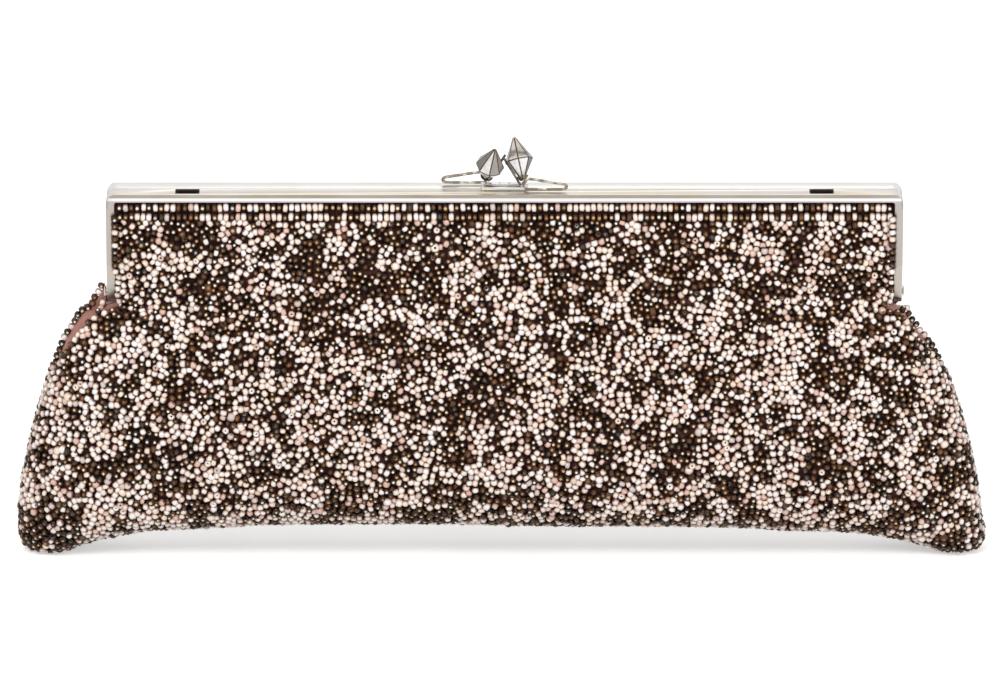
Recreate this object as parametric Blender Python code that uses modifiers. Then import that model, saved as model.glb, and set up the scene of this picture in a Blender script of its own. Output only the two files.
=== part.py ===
# Beaded evening clutch: a soft pouch hung in a hinged two-part metal frame, which two
# crossing crystal knobs hold shut.
# Lengths are in metres. +X points right, -Y points to the front and +Z points up. The
# origin is on the table, under the middle of the closed bag.
# Many pieces are worked out once for a half of the bag: their depth is counted from the
# parting plane outwards, and a facing of -1 or +1 puts them on the front or the rear.

import math

import bmesh
import bpy
from mathutils import Matrix, Vector

# Fits and cuts
PART_GAP = 0.0003
CUT_OVERRUN = 0.001
WELD_DISTANCE = 0.000001

# The hinged frame: two halves of folded sheet with a channel that grips the cloth
FRAME_WIDTH = 0.220
HINGE_HEIGHT = 0.076
ARM_HEIGHT = 0.030
FRAME_TOP = HINGE_HEIGHT + ARM_HEIGHT
HALF_DEPTH = 0.0055
FRAME_SHEET = 0.0007
LIP_HEIGHT = 0.0023
CORNER_RADIUS = 0.003
INNER_CORNER_RADIUS = 0.0004
TOP_EDGE_RADIUS = 0.0005
OPEN_LIMIT = math.radians(40)
EAR_RADIUS = 0.003
REAR_EAR_RADIUS = 0.002
EAR_CLEARANCE = 0.0012
JOGGLE_HEIGHT = 0.001
TAPER_LENGTH = 0.010
CORNER_STEPS = 6
EAR_STEPS = 20

# Hinge rivets
RIVET_RADIUS = 0.0008
RIVET_HOLE_RADIUS = 0.0011
RIVET_HEAD_RADIUS = 0.0016
RIVET_HEAD_HEIGHT = 0.0004
RIVET_DOME_HEIGHT = 0.0005
RIVET_STEPS = 16
DOME_SHARES = ((0.0, 1.0), (0.55, 0.88), (0.88, 0.5))

# Chain slots in the front half, with a bar under each
SLOT_FROM_END = 0.0225
SLOT_PLACE = FRAME_WIDTH / 2 - SLOT_FROM_END
SLOT_LENGTH = 0.0068
SLOT_WIDTH = 0.003
BAR_RADIUS = 0.0005
BAR_SEAT = 0.0005
BAR_END_GAP = 0.0004

# What lies in the channel, from the outer lip inwards: cloth, paper cord, lining
CHANNEL_GAP = 0.00035
TONGUE_WALL = 0.001
CORD_RADIUS = 0.0005
LINING_WALL = 0.0006

# The beaded pouch below the hinge
POUCH_SPREAD = 0.0222
POUCH_HALF_WIDTH = FRAME_WIDTH / 2 + POUCH_SPREAD
RIM_BELOW_HINGE = 0.0037
RIM_HEIGHT = HINGE_HEIGHT - RIM_BELOW_HINGE
RIM_HALF_DEPTH = 0.012
BELLY_HALF_DEPTH = 0.018
ARCH_HEIGHT = 0.0102
CLOTH_WALL = 0.0024
SEAM_GAP = 0.0003
LINING_GAP = 0.0003
LINING_DROP = 0.0028
SECTION_POWER = 3.2
ROUND_POWER = 3.2
ROUND_SHARE = 0.35
NECK_POWER = 1.6
# Half-width, as a share of the widest, at shares of the rim's height
SIDE_SHARES = (
    (0.0, 0.985), (0.03, 0.996), (0.14, 1.0), (0.28, 0.992), (0.42, 0.976),
    (0.56, 0.957), (0.70, 0.933), (0.84, 0.902), (0.91, 0.877), (1.0, 0.847),
)
# Height of the bottom seam, as a share of the arch, at shares of the half-width there
ARCH_SHARES = (
    (0.0, 1.0), (0.39, 0.99), (0.515, 0.95), (0.585, 0.88), (0.66, 0.81), (0.72, 0.75),
    (0.78, 0.63), (0.843, 0.43), (0.91, 0.14), (0.945, -0.06), (0.965, -0.11),
    (0.985, -0.1), (1.0, -0.02),
)
# Heights of the rows of faces, as shares, closer together where the bottom turns under
ROW_SHARES = (
    0.0, 0.01, 0.024, 0.048, 0.085, 0.135, 0.20, 0.28, 0.37, 0.47, 0.58, 0.69, 0.80, 0.90, 1.0,
)
POUCH_COLUMNS = 32
LINING_COLUMNS = 20

# The cloth between the frame and the pouch
TUCK = 0.0013
TUCK_CLEARANCE = 0.0007
PANEL_SIDE_GAP = 0.0005
PANEL_PROUD = 0.0002
PANEL_ROWS = 6
PANEL_COLUMNS = 24
TOP_LINING_COLUMNS = 14
LINING_LIFT = 0.001

# The row of beads along each side seam
EDGE_BEAD_RADIUS = 0.00105
EDGE_BEAD_PITCH = 0.002
EDGE_START_SHARE = 0.025
EDGE_SAMPLES = 200
BEAD_WAIST_SHARE = 0.5

# The clasp: places are counted from the middle of the frame's top, for the front half
PLATE_LENGTH = 0.013
PLATE_WIDTH = 0.002
PLATE_THICKNESS = 0.0008
PLATE_DEPTH = 0.00135
PLATE_HOLE_RADIUS = 0.00035
PLATE_HOLE_PITCH = 0.00265
PLATE_HOLES = 4
PLATE_CORNER_RADIUS = 0.0006
HOLE_STEPS = 10
POST_PLACE = 0.0055
CRYSTAL_PLACE = 0.0040
CRYSTAL_DEPTH = -0.0021
CRYSTAL_RISE = 0.0074
CRYSTAL_RADIUS = 0.0041
CRYSTAL_UPPER = 0.0066
CRYSTAL_LOWER = 0.0050
CRYSTAL_TIP_RADIUS = 0.0005
CRYSTAL_END_RADIUS = 0.0008
CRYSTAL_FACETS = 8
CAP_WALL = 0.0003
CAP_HEIGHT = 0.0009
CAP_CLEARANCE = 0.0004
CAP_STEPS = 16
POST_RADIUS = 0.0004
POST_BALL_RADIUS = 0.0005
POST_STEPS = 12
WIRE_FOOT = (0.0045, -0.0020, 0.0015)
WIRE_TIP = (-0.0002, -0.0013, 0.0093)
CROSS_WIRE_RADIUS = 0.00035
LOOP_WIRE_RADIUS = 0.00045
LOOP_START = 0.0056
LOOP_DEPTH = 0.0029
LOOP_REACH = 0.0171
LOOP_RISE = 0.0031
LOOP_POINTS_PER_SPAN = 2
# The loop's wire, out along the frame to its tip, back up and steeply down to the plate:
# shares of the reach past its start and of the rise
LOOP_SHARES = (
    (0.0, 0.0), (0.45, 0.0), (0.86, 0.0), (0.96, 0.06), (1.0, 0.25), (0.955, 0.46),
    (0.82, 0.56), (0.45, 0.78), (0.14, 0.96), (0.06, 0.92), (0.0, 0.68), (-0.08, 0.26),
)


# Small helpers

def share_at(shares, place):
    """The value at a place along a table of (place, value) shares, joined smoothly."""
    last = len(shares) - 1
    index = 0
    while index < last - 1 and place > shares[index + 1][0]:
        index += 1
    start, end = shares[index], shares[index + 1]
    before, after = shares[max(index - 1, 0)], shares[min(index + 2, last)]
    span = end[0] - start[0]
    slope_in = span * (end[1] - before[1]) / (end[0] - before[0])
    slope_out = span * (after[1] - start[1]) / (after[0] - start[0])
    t = (place - start[0]) / span
    return (
        start[1] * (2 * t ** 3 - 3 * t ** 2 + 1)
        + slope_in * (t ** 3 - 2 * t ** 2 + t)
        + end[1] * (3 * t ** 2 - 2 * t ** 3)
        + slope_out * (t ** 3 - t ** 2)
    )


def eased(share):
    """0 to 1 with a soft start and end."""
    held = min(max(share, 0), 1)
    return held * held * (3 - 2 * held)


def arc(centre_x, centre_y, radius, start, end, steps):
    """Points along an arc between two angles in radians, both ends included."""
    angles = [start + (end - start) * step / steps for step in range(steps + 1)]
    return [(centre_x + radius * math.cos(a), centre_y + radius * math.sin(a)) for a in angles]


def smooth_path(points, per_span):
    """A rounded path through points: each span is a cubic with shared tangents."""
    path = []
    last = len(points) - 1
    for index in range(last):
        before = points[max(index - 1, 0)]
        start, end = points[index], points[index + 1]
        after = points[min(index + 2, last)]
        tangent_in = (end - before) / 2
        tangent_out = (after - start) / 2
        for step in range(per_span):
            t = step / per_span
            path.append(
                start * (2 * t ** 3 - 3 * t ** 2 + 1)
                + tangent_in * (t ** 3 - 2 * t ** 2 + t)
                + end * (3 * t ** 2 - 2 * t ** 3)
                + tangent_out * (t ** 3 - t ** 2)
            )
    path.append(points[last])
    return path


# Turning outlines into objects

def clear_objects():
    for item in list(bpy.data.objects):
        bpy.data.objects.remove(item, do_unlink=True)


def make_collection(name):
    made = bpy.data.collections.new(name)
    bpy.context.scene.collection.children.link(made)
    return made


def make_material(name, colour, roughness, metallic):
    material = bpy.data.materials.new(name)
    material.use_nodes = True
    shader = material.node_tree.nodes["Principled BSDF"]
    shader.inputs["Base Color"].default_value = (*colour, 1)
    shader.inputs["Roughness"].default_value = roughness
    shader.inputs["Metallic"].default_value = metallic
    return material


def add_object(name, data, collection, matrix=None):
    made = bpy.data.objects.new(name, data)
    collection.objects.link(made)
    if matrix is not None:
        made.matrix_world = matrix
    return made


def flat_curve(outlines, thickness):
    """A filled flat curve, drawn in its own XY plane and half its thickness each way."""
    curve = bpy.data.curves.new("outline", "CURVE")
    curve.dimensions = "2D"
    curve.fill_mode = "BOTH"
    curve.extrude = thickness / 2
    for outline in outlines:
        spline = curve.splines.new("POLY")
        spline.points.add(len(outline) - 1)
        for point, (x, y) in zip(spline.points, outline):
            point.co = (x, y, 0, 1)
        spline.use_cyclic_u = True
    return curve


def wire_curve(paths, radius, resolution, radius_shares=None):
    """Round wire along each path, with closed ends."""
    curve = bpy.data.curves.new("wire", "CURVE")
    curve.dimensions = "3D"
    curve.bevel_depth = radius
    curve.bevel_resolution = resolution
    curve.use_fill_caps = True
    for path in paths:
        spline = curve.splines.new("POLY")
        spline.points.add(len(path) - 1)
        for index, place in enumerate(path):
            spline.points[index].co = (*place, 1)
            if radius_shares:
                spline.points[index].radius = radius_shares[index]
    return curve


def solid_from_curve(name, curve, collection, matrix):
    """The curve as a welded mesh, ready to be cut."""
    drawn = add_object(name + "_outline", curve, collection, matrix)
    bpy.context.view_layer.update()
    graph = bpy.context.evaluated_depsgraph_get()
    mesh = bpy.data.meshes.new_from_object(drawn.evaluated_get(graph))
    bpy.data.objects.remove(drawn, do_unlink=True)
    bpy.data.curves.remove(curve)
    bm = bmesh.new()
    bm.from_mesh(mesh)
    bmesh.ops.remove_doubles(bm, verts=bm.verts, dist=WELD_DISTANCE)
    bmesh.ops.recalc_face_normals(bm, faces=bm.faces)
    bm.to_mesh(mesh)
    bm.free()
    return add_object(name, mesh, collection, matrix)


def front_view(depth):
    """Stands an outline drawn as (x, height) upright, at a place along Y."""
    return Matrix.Translation((0, depth, 0)) @ Matrix.Rotation(math.pi / 2, 4, "X")


def side_view(place):
    """Stands an outline drawn as (y, height) upright across X, at a place along X."""
    turn = Matrix(((0, 0, 1, 0), (1, 0, 0, 0), (0, 1, 0, 0), (0, 0, 0, 1)))
    return Matrix.Translation((place, 0, 0)) @ turn


def box_cutter(name, low, high, collection):
    bm = bmesh.new()
    bmesh.ops.create_cube(bm, size=1)
    low, high = Vector(low), Vector(high)
    for vert in bm.verts:
        share = vert.co + Vector((0.5, 0.5, 0.5))
        vert.co = [a + (b - a) * part for a, b, part in zip(low, high, share)]
    mesh = bpy.data.meshes.new(name)
    bm.to_mesh(mesh)
    bm.free()
    return add_object(name, mesh, collection)


def rod_cutter(name, radius, half_length, height, collection):
    """A round cutter lying along X."""
    bm = bmesh.new()
    bmesh.ops.create_cone(
        bm, cap_ends=True, segments=RIVET_STEPS, radius1=radius, radius2=radius,
        depth=half_length * 2,
    )
    mesh = bpy.data.meshes.new(name)
    bm.to_mesh(mesh)
    bm.free()
    matrix = Matrix.Translation((0, 0, height)) @ Matrix.Rotation(math.pi / 2, 4, "Y")
    return add_object(name, mesh, collection, matrix)


def carve(piece, cutter, operation="DIFFERENCE"):
    cutter.hide_render = True
    cutter.display_type = "WIRE"
    modifier = piece.modifiers.new(cutter.name, "BOOLEAN")
    modifier.operation = operation
    modifier.object = cutter


def turned(name, profile, steps, collection, matrix):
    """A turned piece: the profile's (radius, height) points run top to bottom outside."""
    mesh = bpy.data.meshes.new(name)
    points = [(radius, 0, height) for radius, height in profile]
    edges = [(index, index + 1) for index in range(len(points) - 1)]
    mesh.from_pydata(points, edges, [])
    piece = add_object(name, mesh, collection, matrix)
    screw = piece.modifiers.new("turn", "SCREW")
    screw.steps = steps
    screw.render_steps = steps
    screw.use_merge_vertices = True
    screw.merge_threshold = WELD_DISTANCE
    screw.use_smooth_shade = False
    return piece


def shell_between(name, columns, rows, outer, inner, collection, rim_only=False):
    """A shell from an outer and an inner grid. Both are placed by a formula of column and
    row, and their edges are joined: all of them, or the rim alone for a half to mirror."""
    bm = bmesh.new()
    grids = []
    for place in (outer, inner):
        made = bmesh.ops.create_grid(bm, x_segments=columns, y_segments=rows, size=1)
        grid = {}
        for vert in made["verts"]:
            column = round((vert.co.x + 1) / 2 * columns)
            row = round((vert.co.y + 1) / 2 * rows)
            grid[column, row] = vert
        for (column, row), vert in grid.items():
            vert.co = place(column, row)
        grids.append(grid)
    rim = [(column, rows) for column in range(columns + 1)]
    right = [(columns, row) for row in range(rows, -1, -1)]
    bottom = [(column, 0) for column in range(columns, -1, -1)]
    left = [(0, row) for row in range(rows + 1)]
    for run in (rim,) if rim_only else (rim, right, bottom, left):
        for start, end in zip(run, run[1:]):
            bm.faces.new((grids[0][start], grids[0][end], grids[1][end], grids[1][start]))
    bmesh.ops.recalc_face_normals(bm, faces=bm.faces)
    mesh = bpy.data.meshes.new(name)
    bm.to_mesh(mesh)
    bm.free()
    return add_object(name, mesh, collection)


def finish_round(piece, material, sharp_angle=math.radians(40)):
    piece.data.materials.clear()
    piece.data.materials.append(material)
    if piece.type == "MESH":
        piece.data.shade_smooth()
        piece.data.set_sharp_from_angle(angle=sharp_angle)


def finish_faceted(piece, material):
    piece.data.materials.clear()
    piece.data.materials.append(material)


def attach(piece, parent):
    piece.parent = parent
    piece.matrix_parent_inverse = parent.matrix_world.inverted()


def pivot(name, place, collection, parent=None):
    """An empty on a joint's axis, which carries the pieces that turn there."""
    made = add_object(name, None, collection, Matrix.Translation(place))
    bpy.context.view_layer.update()
    if parent is not None:
        attach(made, parent)
        bpy.context.view_layer.update()
    return made


# The frame halves

CHANNEL_FOOT = HINGE_HEIGHT + TAPER_LENGTH
EAR_TOP = HINGE_HEIGHT + EAR_RADIUS + EAR_CLEARANCE
OUTER_EAR_INSIDE = FRAME_WIDTH / 2 - FRAME_SHEET
INNER_EAR_OUTSIDE = OUTER_EAR_INSIDE - PART_GAP
INNER_EAR_INSIDE = INNER_EAR_OUTSIDE - FRAME_SHEET


def arch(half_width, top, bottom, radius):
    """Up the left side, round two corners and down the right side."""
    turn = math.pi / 2
    left = arc(radius - half_width, top - radius, radius, 2 * turn, turn, CORNER_STEPS)
    right = arc(half_width - radius, top - radius, radius, turn, 0, CORNER_STEPS)
    return [(-half_width, bottom), *left, *right, (half_width, bottom)]


def band(outer_inset, inner_inset, bottom):
    """The frame seen from the front, between two insets from its outer edge."""
    outlines = []
    for inset in (outer_inset, inner_inset):
        radius = max(CORNER_RADIUS - inset, INNER_CORNER_RADIUS)
        outlines.append(arch(FRAME_WIDTH / 2 - inset, FRAME_TOP - inset, bottom, radius))
    return outlines[0] + outlines[1][::-1]


def taper_end(ear_radius, half_depth):
    """The angle at which the arm's straight taper meets its round ear."""
    reach = math.hypot(TAPER_LENGTH, half_depth)
    return math.atan2(TAPER_LENGTH, half_depth) - math.acos(ear_radius / reach)


def arm_outline(facing, ear_radius):
    """One half seen from the side: a straight arm that narrows to a round ear."""
    inside = PART_GAP / 2
    ear_end = math.acos(inside / ear_radius) - 2 * math.pi
    edge = TOP_EDGE_RADIUS
    points = [(inside, FRAME_TOP)]
    points += arc(HALF_DEPTH - edge, FRAME_TOP - edge, edge, math.pi / 2, 0, CORNER_STEPS // 2)
    points.append((HALF_DEPTH, CHANNEL_FOOT))
    start = taper_end(ear_radius, HALF_DEPTH)
    points += arc(0, HINGE_HEIGHT, ear_radius, start, ear_end, EAR_STEPS)
    return [(facing * depth, height) for depth, height in points]


def between(low_depth, high_depth, facing):
    """The middle of a span of depths and its thickness."""
    return facing * (low_depth + high_depth) / 2, high_depth - low_depth


def frame_half(name, facing, ear_radius, cutters, collection):
    """The folded sheet of one half, before its hinge ends are cut to shape."""
    foot = HINGE_HEIGHT - EAR_RADIUS - CUT_OVERRUN
    middle, thickness = between(-EAR_RADIUS - CUT_OVERRUN, HALF_DEPTH, facing)
    piece = solid_from_curve(
        name, flat_curve([band(0, LIP_HEIGHT, foot)], thickness), collection, front_view(middle)
    )
    side = flat_curve([arm_outline(facing, ear_radius)], FRAME_WIDTH + CUT_OVERRUN)
    outline = solid_from_curve(name + "_side_outline", side, cutters, side_view(0))
    carve(piece, outline, "INTERSECT")
    return piece


def cut_channel(piece, facing, cutters):
    low = PART_GAP / 2 + FRAME_SHEET
    middle, thickness = between(low, HALF_DEPTH - FRAME_SHEET, facing)
    groove = flat_curve([band(FRAME_SHEET, LIP_HEIGHT + CUT_OVERRUN, CHANNEL_FOOT)], thickness)
    carve(piece, solid_from_curve(piece.name + "_channel", groove, cutters, front_view(middle)))


def cut_beside_ear(piece, low_x, high_x, tag, cutters):
    """Clears one span of X below the joggle, across the whole depth."""
    reach = HALF_DEPTH + CUT_OVERRUN
    low = (low_x, -reach, HINGE_HEIGHT - EAR_RADIUS - CUT_OVERRUN * 2)
    high = (high_x, reach, EAR_TOP)
    carve(piece, box_cutter(piece.name + "_" + tag, low, high, cutters))


def hollow_taper(piece, facing, ear_radius, bottom, cutters):
    """Hollows the tapered arm behind its face, down to a height or past its ear."""
    depth, radius = HALF_DEPTH - FRAME_SHEET, ear_radius - FRAME_SHEET
    beyond = HALF_DEPTH + CUT_OVERRUN
    start = taper_end(radius, depth)
    foot = (radius * math.cos(start), HINGE_HEIGHT + radius * math.sin(start))
    outline = [(depth, CHANNEL_FOOT)]
    if bottom < foot[1]:
        outline += arc(0, HINGE_HEIGHT, radius, start, -math.pi / 2, EAR_STEPS // 2)
        outline.append((0, bottom))
    else:
        share = (bottom - foot[1]) / (CHANNEL_FOOT - foot[1])
        outline.append((foot[0] + (depth - foot[0]) * share, bottom))
    outline += [(-beyond, bottom), (-beyond, CHANNEL_FOOT)]
    cutter = flat_curve([[(facing * y, z) for y, z in outline]], OUTER_EAR_INSIDE * 2)
    carve(piece, solid_from_curve(piece.name + "_taper_hollow", cutter, cutters, side_view(0)))


def cut_rivet_holes(piece, cutters):
    hole = rod_cutter(
        piece.name + "_rivet_hole", RIVET_HOLE_RADIUS, FRAME_WIDTH / 2 + CUT_OVERRUN,
        HINGE_HEIGHT, cutters,
    )
    carve(piece, hole)


def cord_depth():
    """Depth of the paper cord's middle, which the cloth's tongue sets."""
    tongue_inside = HALF_DEPTH - FRAME_SHEET - CHANNEL_GAP - TONGUE_WALL
    return tongue_inside - CHANNEL_GAP - CORD_RADIUS


def rounded_slot(centre_x, centre_y, length, width):
    """A slot with round ends, drawn flat."""
    radius = width / 2
    reach = length / 2 - radius
    turn = math.pi / 2
    right = arc(centre_x + reach, centre_y, radius, -turn, turn, CORNER_STEPS)
    left = arc(centre_x - reach, centre_y, radius, turn, 3 * turn, CORNER_STEPS)
    return right + left


def front_frame(collection, cutters, material):
    piece = frame_half("front_frame", -1, EAR_RADIUS, cutters, collection)
    cut_channel(piece, -1, cutters)
    below_ear = HINGE_HEIGHT - EAR_RADIUS - CUT_OVERRUN * 2
    hollow_taper(piece, -1, EAR_RADIUS, below_ear, cutters)
    cut_rivet_holes(piece, cutters)
    slots = [
        rounded_slot(side * SLOT_PLACE, -cord_depth(), SLOT_LENGTH, SLOT_WIDTH)
        for side in (-1, 1)
    ]
    height = FRAME_SHEET + CUT_OVERRUN
    place = Matrix.Translation((0, 0, FRAME_TOP - FRAME_SHEET / 2))
    carve(piece, solid_from_curve("chain_slots", flat_curve(slots, height), cutters, place))
    finish_round(piece, material)
    return piece


def rear_frame(collection, cutters, material):
    piece = frame_half("rear_frame", 1, REAR_EAR_RADIUS, cutters, collection)
    cut_channel(piece, 1, cutters)
    hollow_taper(piece, 1, REAR_EAR_RADIUS, EAR_TOP + JOGGLE_HEIGHT, cutters)
    cut_beside_ear(piece, -INNER_EAR_INSIDE, INNER_EAR_INSIDE, "ear_inside", cutters)
    beyond = FRAME_WIDTH / 2 + CUT_OVERRUN
    cut_beside_ear(piece, INNER_EAR_OUTSIDE, beyond, "right_joggle", cutters)
    cut_beside_ear(piece, -beyond, -INNER_EAR_OUTSIDE, "left_joggle", cutters)
    cut_rivet_holes(piece, cutters)
    finish_round(piece, material)
    return piece


def hinge_rivet(name, side, collection, material):
    """A headed pin through both ears, with its dome on the outside."""
    shank = 3 * PART_GAP + 2 * FRAME_SHEET
    dome_foot = RIVET_HEAD_HEIGHT + shank
    profile = [
        (share * RIVET_HEAD_RADIUS, dome_foot + rise * RIVET_DOME_HEIGHT)
        for share, rise in DOME_SHARES
    ]
    profile += [
        (RIVET_HEAD_RADIUS, dome_foot), (RIVET_RADIUS, dome_foot),
        (RIVET_RADIUS, RIVET_HEAD_HEIGHT), (RIVET_HEAD_RADIUS, RIVET_HEAD_HEIGHT),
        (RIVET_HEAD_RADIUS, 0), (0, 0),
    ]
    start = INNER_EAR_INSIDE - PART_GAP - RIVET_HEAD_HEIGHT
    place = Matrix.Translation((side * start, 0, HINGE_HEIGHT))
    piece = turned(
        name, profile, RIVET_STEPS, collection, place @ Matrix.Rotation(side * math.pi / 2, 4, "Y")
    )
    finish_round(piece, material)
    return piece


# Cord and bars in the channel

def cord_inset():
    return FRAME_SHEET + PART_GAP + CORD_RADIUS


def cord_path(facing):
    inset = cord_inset()
    points = arch(
        FRAME_WIDTH / 2 - inset, FRAME_TOP - inset, CHANNEL_FOOT, CORNER_RADIUS - inset
    )
    return [(x, facing * cord_depth(), z) for x, z in points]


def front_cord_paths():
    """The front cord stops at each chain bar, which takes its place under the slot."""
    whole = cord_path(-1)
    half = len(whole) // 2
    near = SLOT_PLACE - SLOT_LENGTH / 2 - BAR_SEAT - BAR_END_GAP
    far = SLOT_PLACE + SLOT_LENGTH / 2 + BAR_SEAT + BAR_END_GAP
    _, y, z = whole[half]
    return {
        "front_frame_cord": [(-near, y, z), (near, y, z)],
        "front_cord_left_end": whole[:half] + [(-far, y, z)],
        "front_cord_right_end": [(far, y, z)] + whole[half:],
    }


def frame_cord(name, path, collection, material):
    curve = wire_curve([path], CORD_RADIUS, 1)
    piece = solid_from_curve(name, curve, collection, Matrix())
    finish_round(piece, material)
    return piece


def chain_bar(name, side, collection, material):
    reach = SLOT_LENGTH / 2 + BAR_SEAT
    height = FRAME_TOP - FRAME_SHEET - PART_GAP - BAR_RADIUS
    path = [
        (side * SLOT_PLACE + end * reach, -cord_depth(), height) for end in (-1, 1)
    ]
    piece = solid_from_curve(name, wire_curve([path], BAR_RADIUS, 2), collection, Matrix())
    finish_round(piece, material)
    return piece


# The pouch

def side_round(across):
    """How much of the depth is left towards the side seams."""
    return (1 - min(abs(across), 1) ** SECTION_POWER) ** (1 / SECTION_POWER)


def bottom_round(up):
    turning = 1 - min(up / ROUND_SHARE, 1)
    return (1 - turning ** ROUND_POWER) ** (1 / ROUND_POWER)


def belly_depth(up):
    """Half-depth in the middle of the bag before the bottom turns under."""
    above = max((up - ROUND_SHARE) / (1 - ROUND_SHARE), 0)
    return BELLY_HALF_DEPTH - (BELLY_HALF_DEPTH - RIM_HALF_DEPTH) * above ** NECK_POWER


def half_width(up, inset):
    return POUCH_HALF_WIDTH * share_at(SIDE_SHARES, up) - inset


def pouch_point(across, up, inset, rim, gap):
    """A point on the front of the pouch, an inset inside its outer face."""
    seam = ARCH_HEIGHT * share_at(ARCH_SHARES, abs(across)) + inset
    depth = bottom_round(up) * (belly_depth(up) - inset) * side_round(across)
    height = seam + up * (rim - seam)
    if inset == 0:
        height = max(height, 0)
    return Vector((across * half_width(up, inset), -max(depth, gap), height))


def spread(column, columns):
    """Columns closer together towards the side seams, from -1 to 1."""
    return math.sin(math.pi / 2 * (2 * column / columns - 1))


def pouch_grid(columns, inset, rim, gap, facing):
    def place(column, row):
        point = pouch_point(spread(column, columns), ROW_SHARES[row], inset, rim, gap)
        return (point.x, -facing * point.y, point.z)
    return place


def beaded_panel(name, facing, collection, material):
    gap = SEAM_GAP / 2
    piece = shell_between(
        name, POUCH_COLUMNS, len(ROW_SHARES) - 1,
        pouch_grid(POUCH_COLUMNS, 0, RIM_HEIGHT, gap, facing),
        pouch_grid(POUCH_COLUMNS, CLOTH_WALL, RIM_HEIGHT, gap, facing), collection,
    )
    finish_round(piece, material)
    return piece


def pouch_lining(collection, material):
    inset = CLOTH_WALL + LINING_GAP
    rim = RIM_HEIGHT - LINING_DROP
    piece = shell_between(
        "pouch_lining", LINING_COLUMNS, len(ROW_SHARES) - 1,
        pouch_grid(LINING_COLUMNS, inset, rim, 0, -1),
        pouch_grid(LINING_COLUMNS, inset + LINING_WALL, rim, 0, -1), collection, rim_only=True,
    )
    mirror = piece.modifiers.new("rear", "MIRROR")
    mirror.use_axis = (False, True, False)
    mirror.merge_threshold = WELD_DISTANCE
    finish_round(piece, material)
    return piece


def seam_path(side):
    """Along a side seam, outside the cloth by half a bead, with evenly spaced points."""
    offset = PART_GAP + EDGE_BEAD_RADIUS
    seam = ARCH_HEIGHT * share_at(ARCH_SHARES, 1)
    samples = []
    for index in range(EDGE_SAMPLES + 1):
        up = EDGE_START_SHARE + (1 - EDGE_START_SHARE) * index / EDGE_SAMPLES
        samples.append(Vector((half_width(up, 0), 0, seam + up * (RIM_HEIGHT - seam))))
    path = []
    for index, here in enumerate(samples):
        ahead = samples[min(index + 1, EDGE_SAMPLES)]
        behind = samples[max(index - 1, 0)]
        along = (ahead - behind).normalized()
        path.append(here + Vector((along.z, 0, -along.x)) * offset)
    length = sum((b - a).length for a, b in zip(path, path[1:]))
    beads = max(round(length / EDGE_BEAD_PITCH), 2)
    wanted = [length * index / (2 * beads) for index in range(2 * beads + 1)]
    even = []
    walked = 0
    for start, end in zip(path, path[1:]):
        step = (end - start).length
        while wanted and wanted[0] <= walked + step:
            even.append(start.lerp(end, (wanted.pop(0) - walked) / step))
        walked += step
    if wanted:
        even.append(path[-1])
    return [(side * point.x, point.y, point.z) for point in even]


def edge_beads(name, side, collection, material):
    """The threaded row as one strand: full at each bead's middle, narrow between two."""
    path = seam_path(side)
    radii = [BEAD_WAIST_SHARE if index % 2 == 0 else 1 for index in range(len(path))]
    curve = wire_curve([path], EDGE_BEAD_RADIUS, 1, radii)
    piece = solid_from_curve(name, curve, collection, Matrix())
    finish_round(piece, material)
    return piece


# The cloth and lining above the hinge, which turn with the frame

PANEL_BOTTOM = RIM_HEIGHT - TUCK
PANEL_TOP = FRAME_TOP - LIP_HEIGHT - PART_GAP
TONGUE_TOP = FRAME_TOP - FRAME_SHEET - PART_GAP


def panel_half_width():
    return FRAME_WIDTH / 2 - LIP_HEIGHT - PANEL_SIDE_GAP


def panel_depth(x, height):
    """Outer depth of the upper cloth: flat under the lip, rounded inside the pouch's rim."""
    up = (height - PANEL_BOTTOM) / (PANEL_TOP - PANEL_BOTTOM)
    tucked = RIM_HALF_DEPTH - CLOTH_WALL - TUCK_CLEARANCE
    middle = tucked + (HALF_DEPTH + PANEL_PROUD - tucked) * up
    sides = side_round(x / half_width(1, CLOTH_WALL))
    return middle * (sides + (1 - sides) * eased(up))


def panel_foot(x):
    """The lower edge rises towards the arms, where the two sides would meet when open."""
    inner = panel_depth(x, PANEL_BOTTOM) - CLOTH_WALL - PART_GAP
    return max(PANEL_BOTTOM, HINGE_HEIGHT - inner / math.tan(OPEN_LIMIT))


def panel_row_height(row, x):
    foot = panel_foot(x)
    return foot + (PANEL_TOP - foot) * row / PANEL_ROWS


def top_panel(name, facing, collection, material):
    """Beaded cloth with a thin tongue along its top, which the channel grips."""
    tongue_outside = HALF_DEPTH - FRAME_SHEET - CHANNEL_GAP
    tongue_rows = (PANEL_TOP, TONGUE_TOP)

    def grid(wall, tongue_depth):
        def place(column, row):
            x = panel_half_width() * spread(column, PANEL_COLUMNS)
            if row > PANEL_ROWS:
                return (x, facing * tongue_depth, tongue_rows[row - PANEL_ROWS - 1])
            height = panel_row_height(row, x)
            return (x, facing * (panel_depth(x, height) - wall), height)
        return place

    piece = shell_between(
        name, PANEL_COLUMNS, PANEL_ROWS + len(tongue_rows), grid(0, tongue_outside),
        grid(CLOTH_WALL, tongue_outside - TONGUE_WALL), collection,
    )
    finish_round(piece, material)
    return piece


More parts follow.
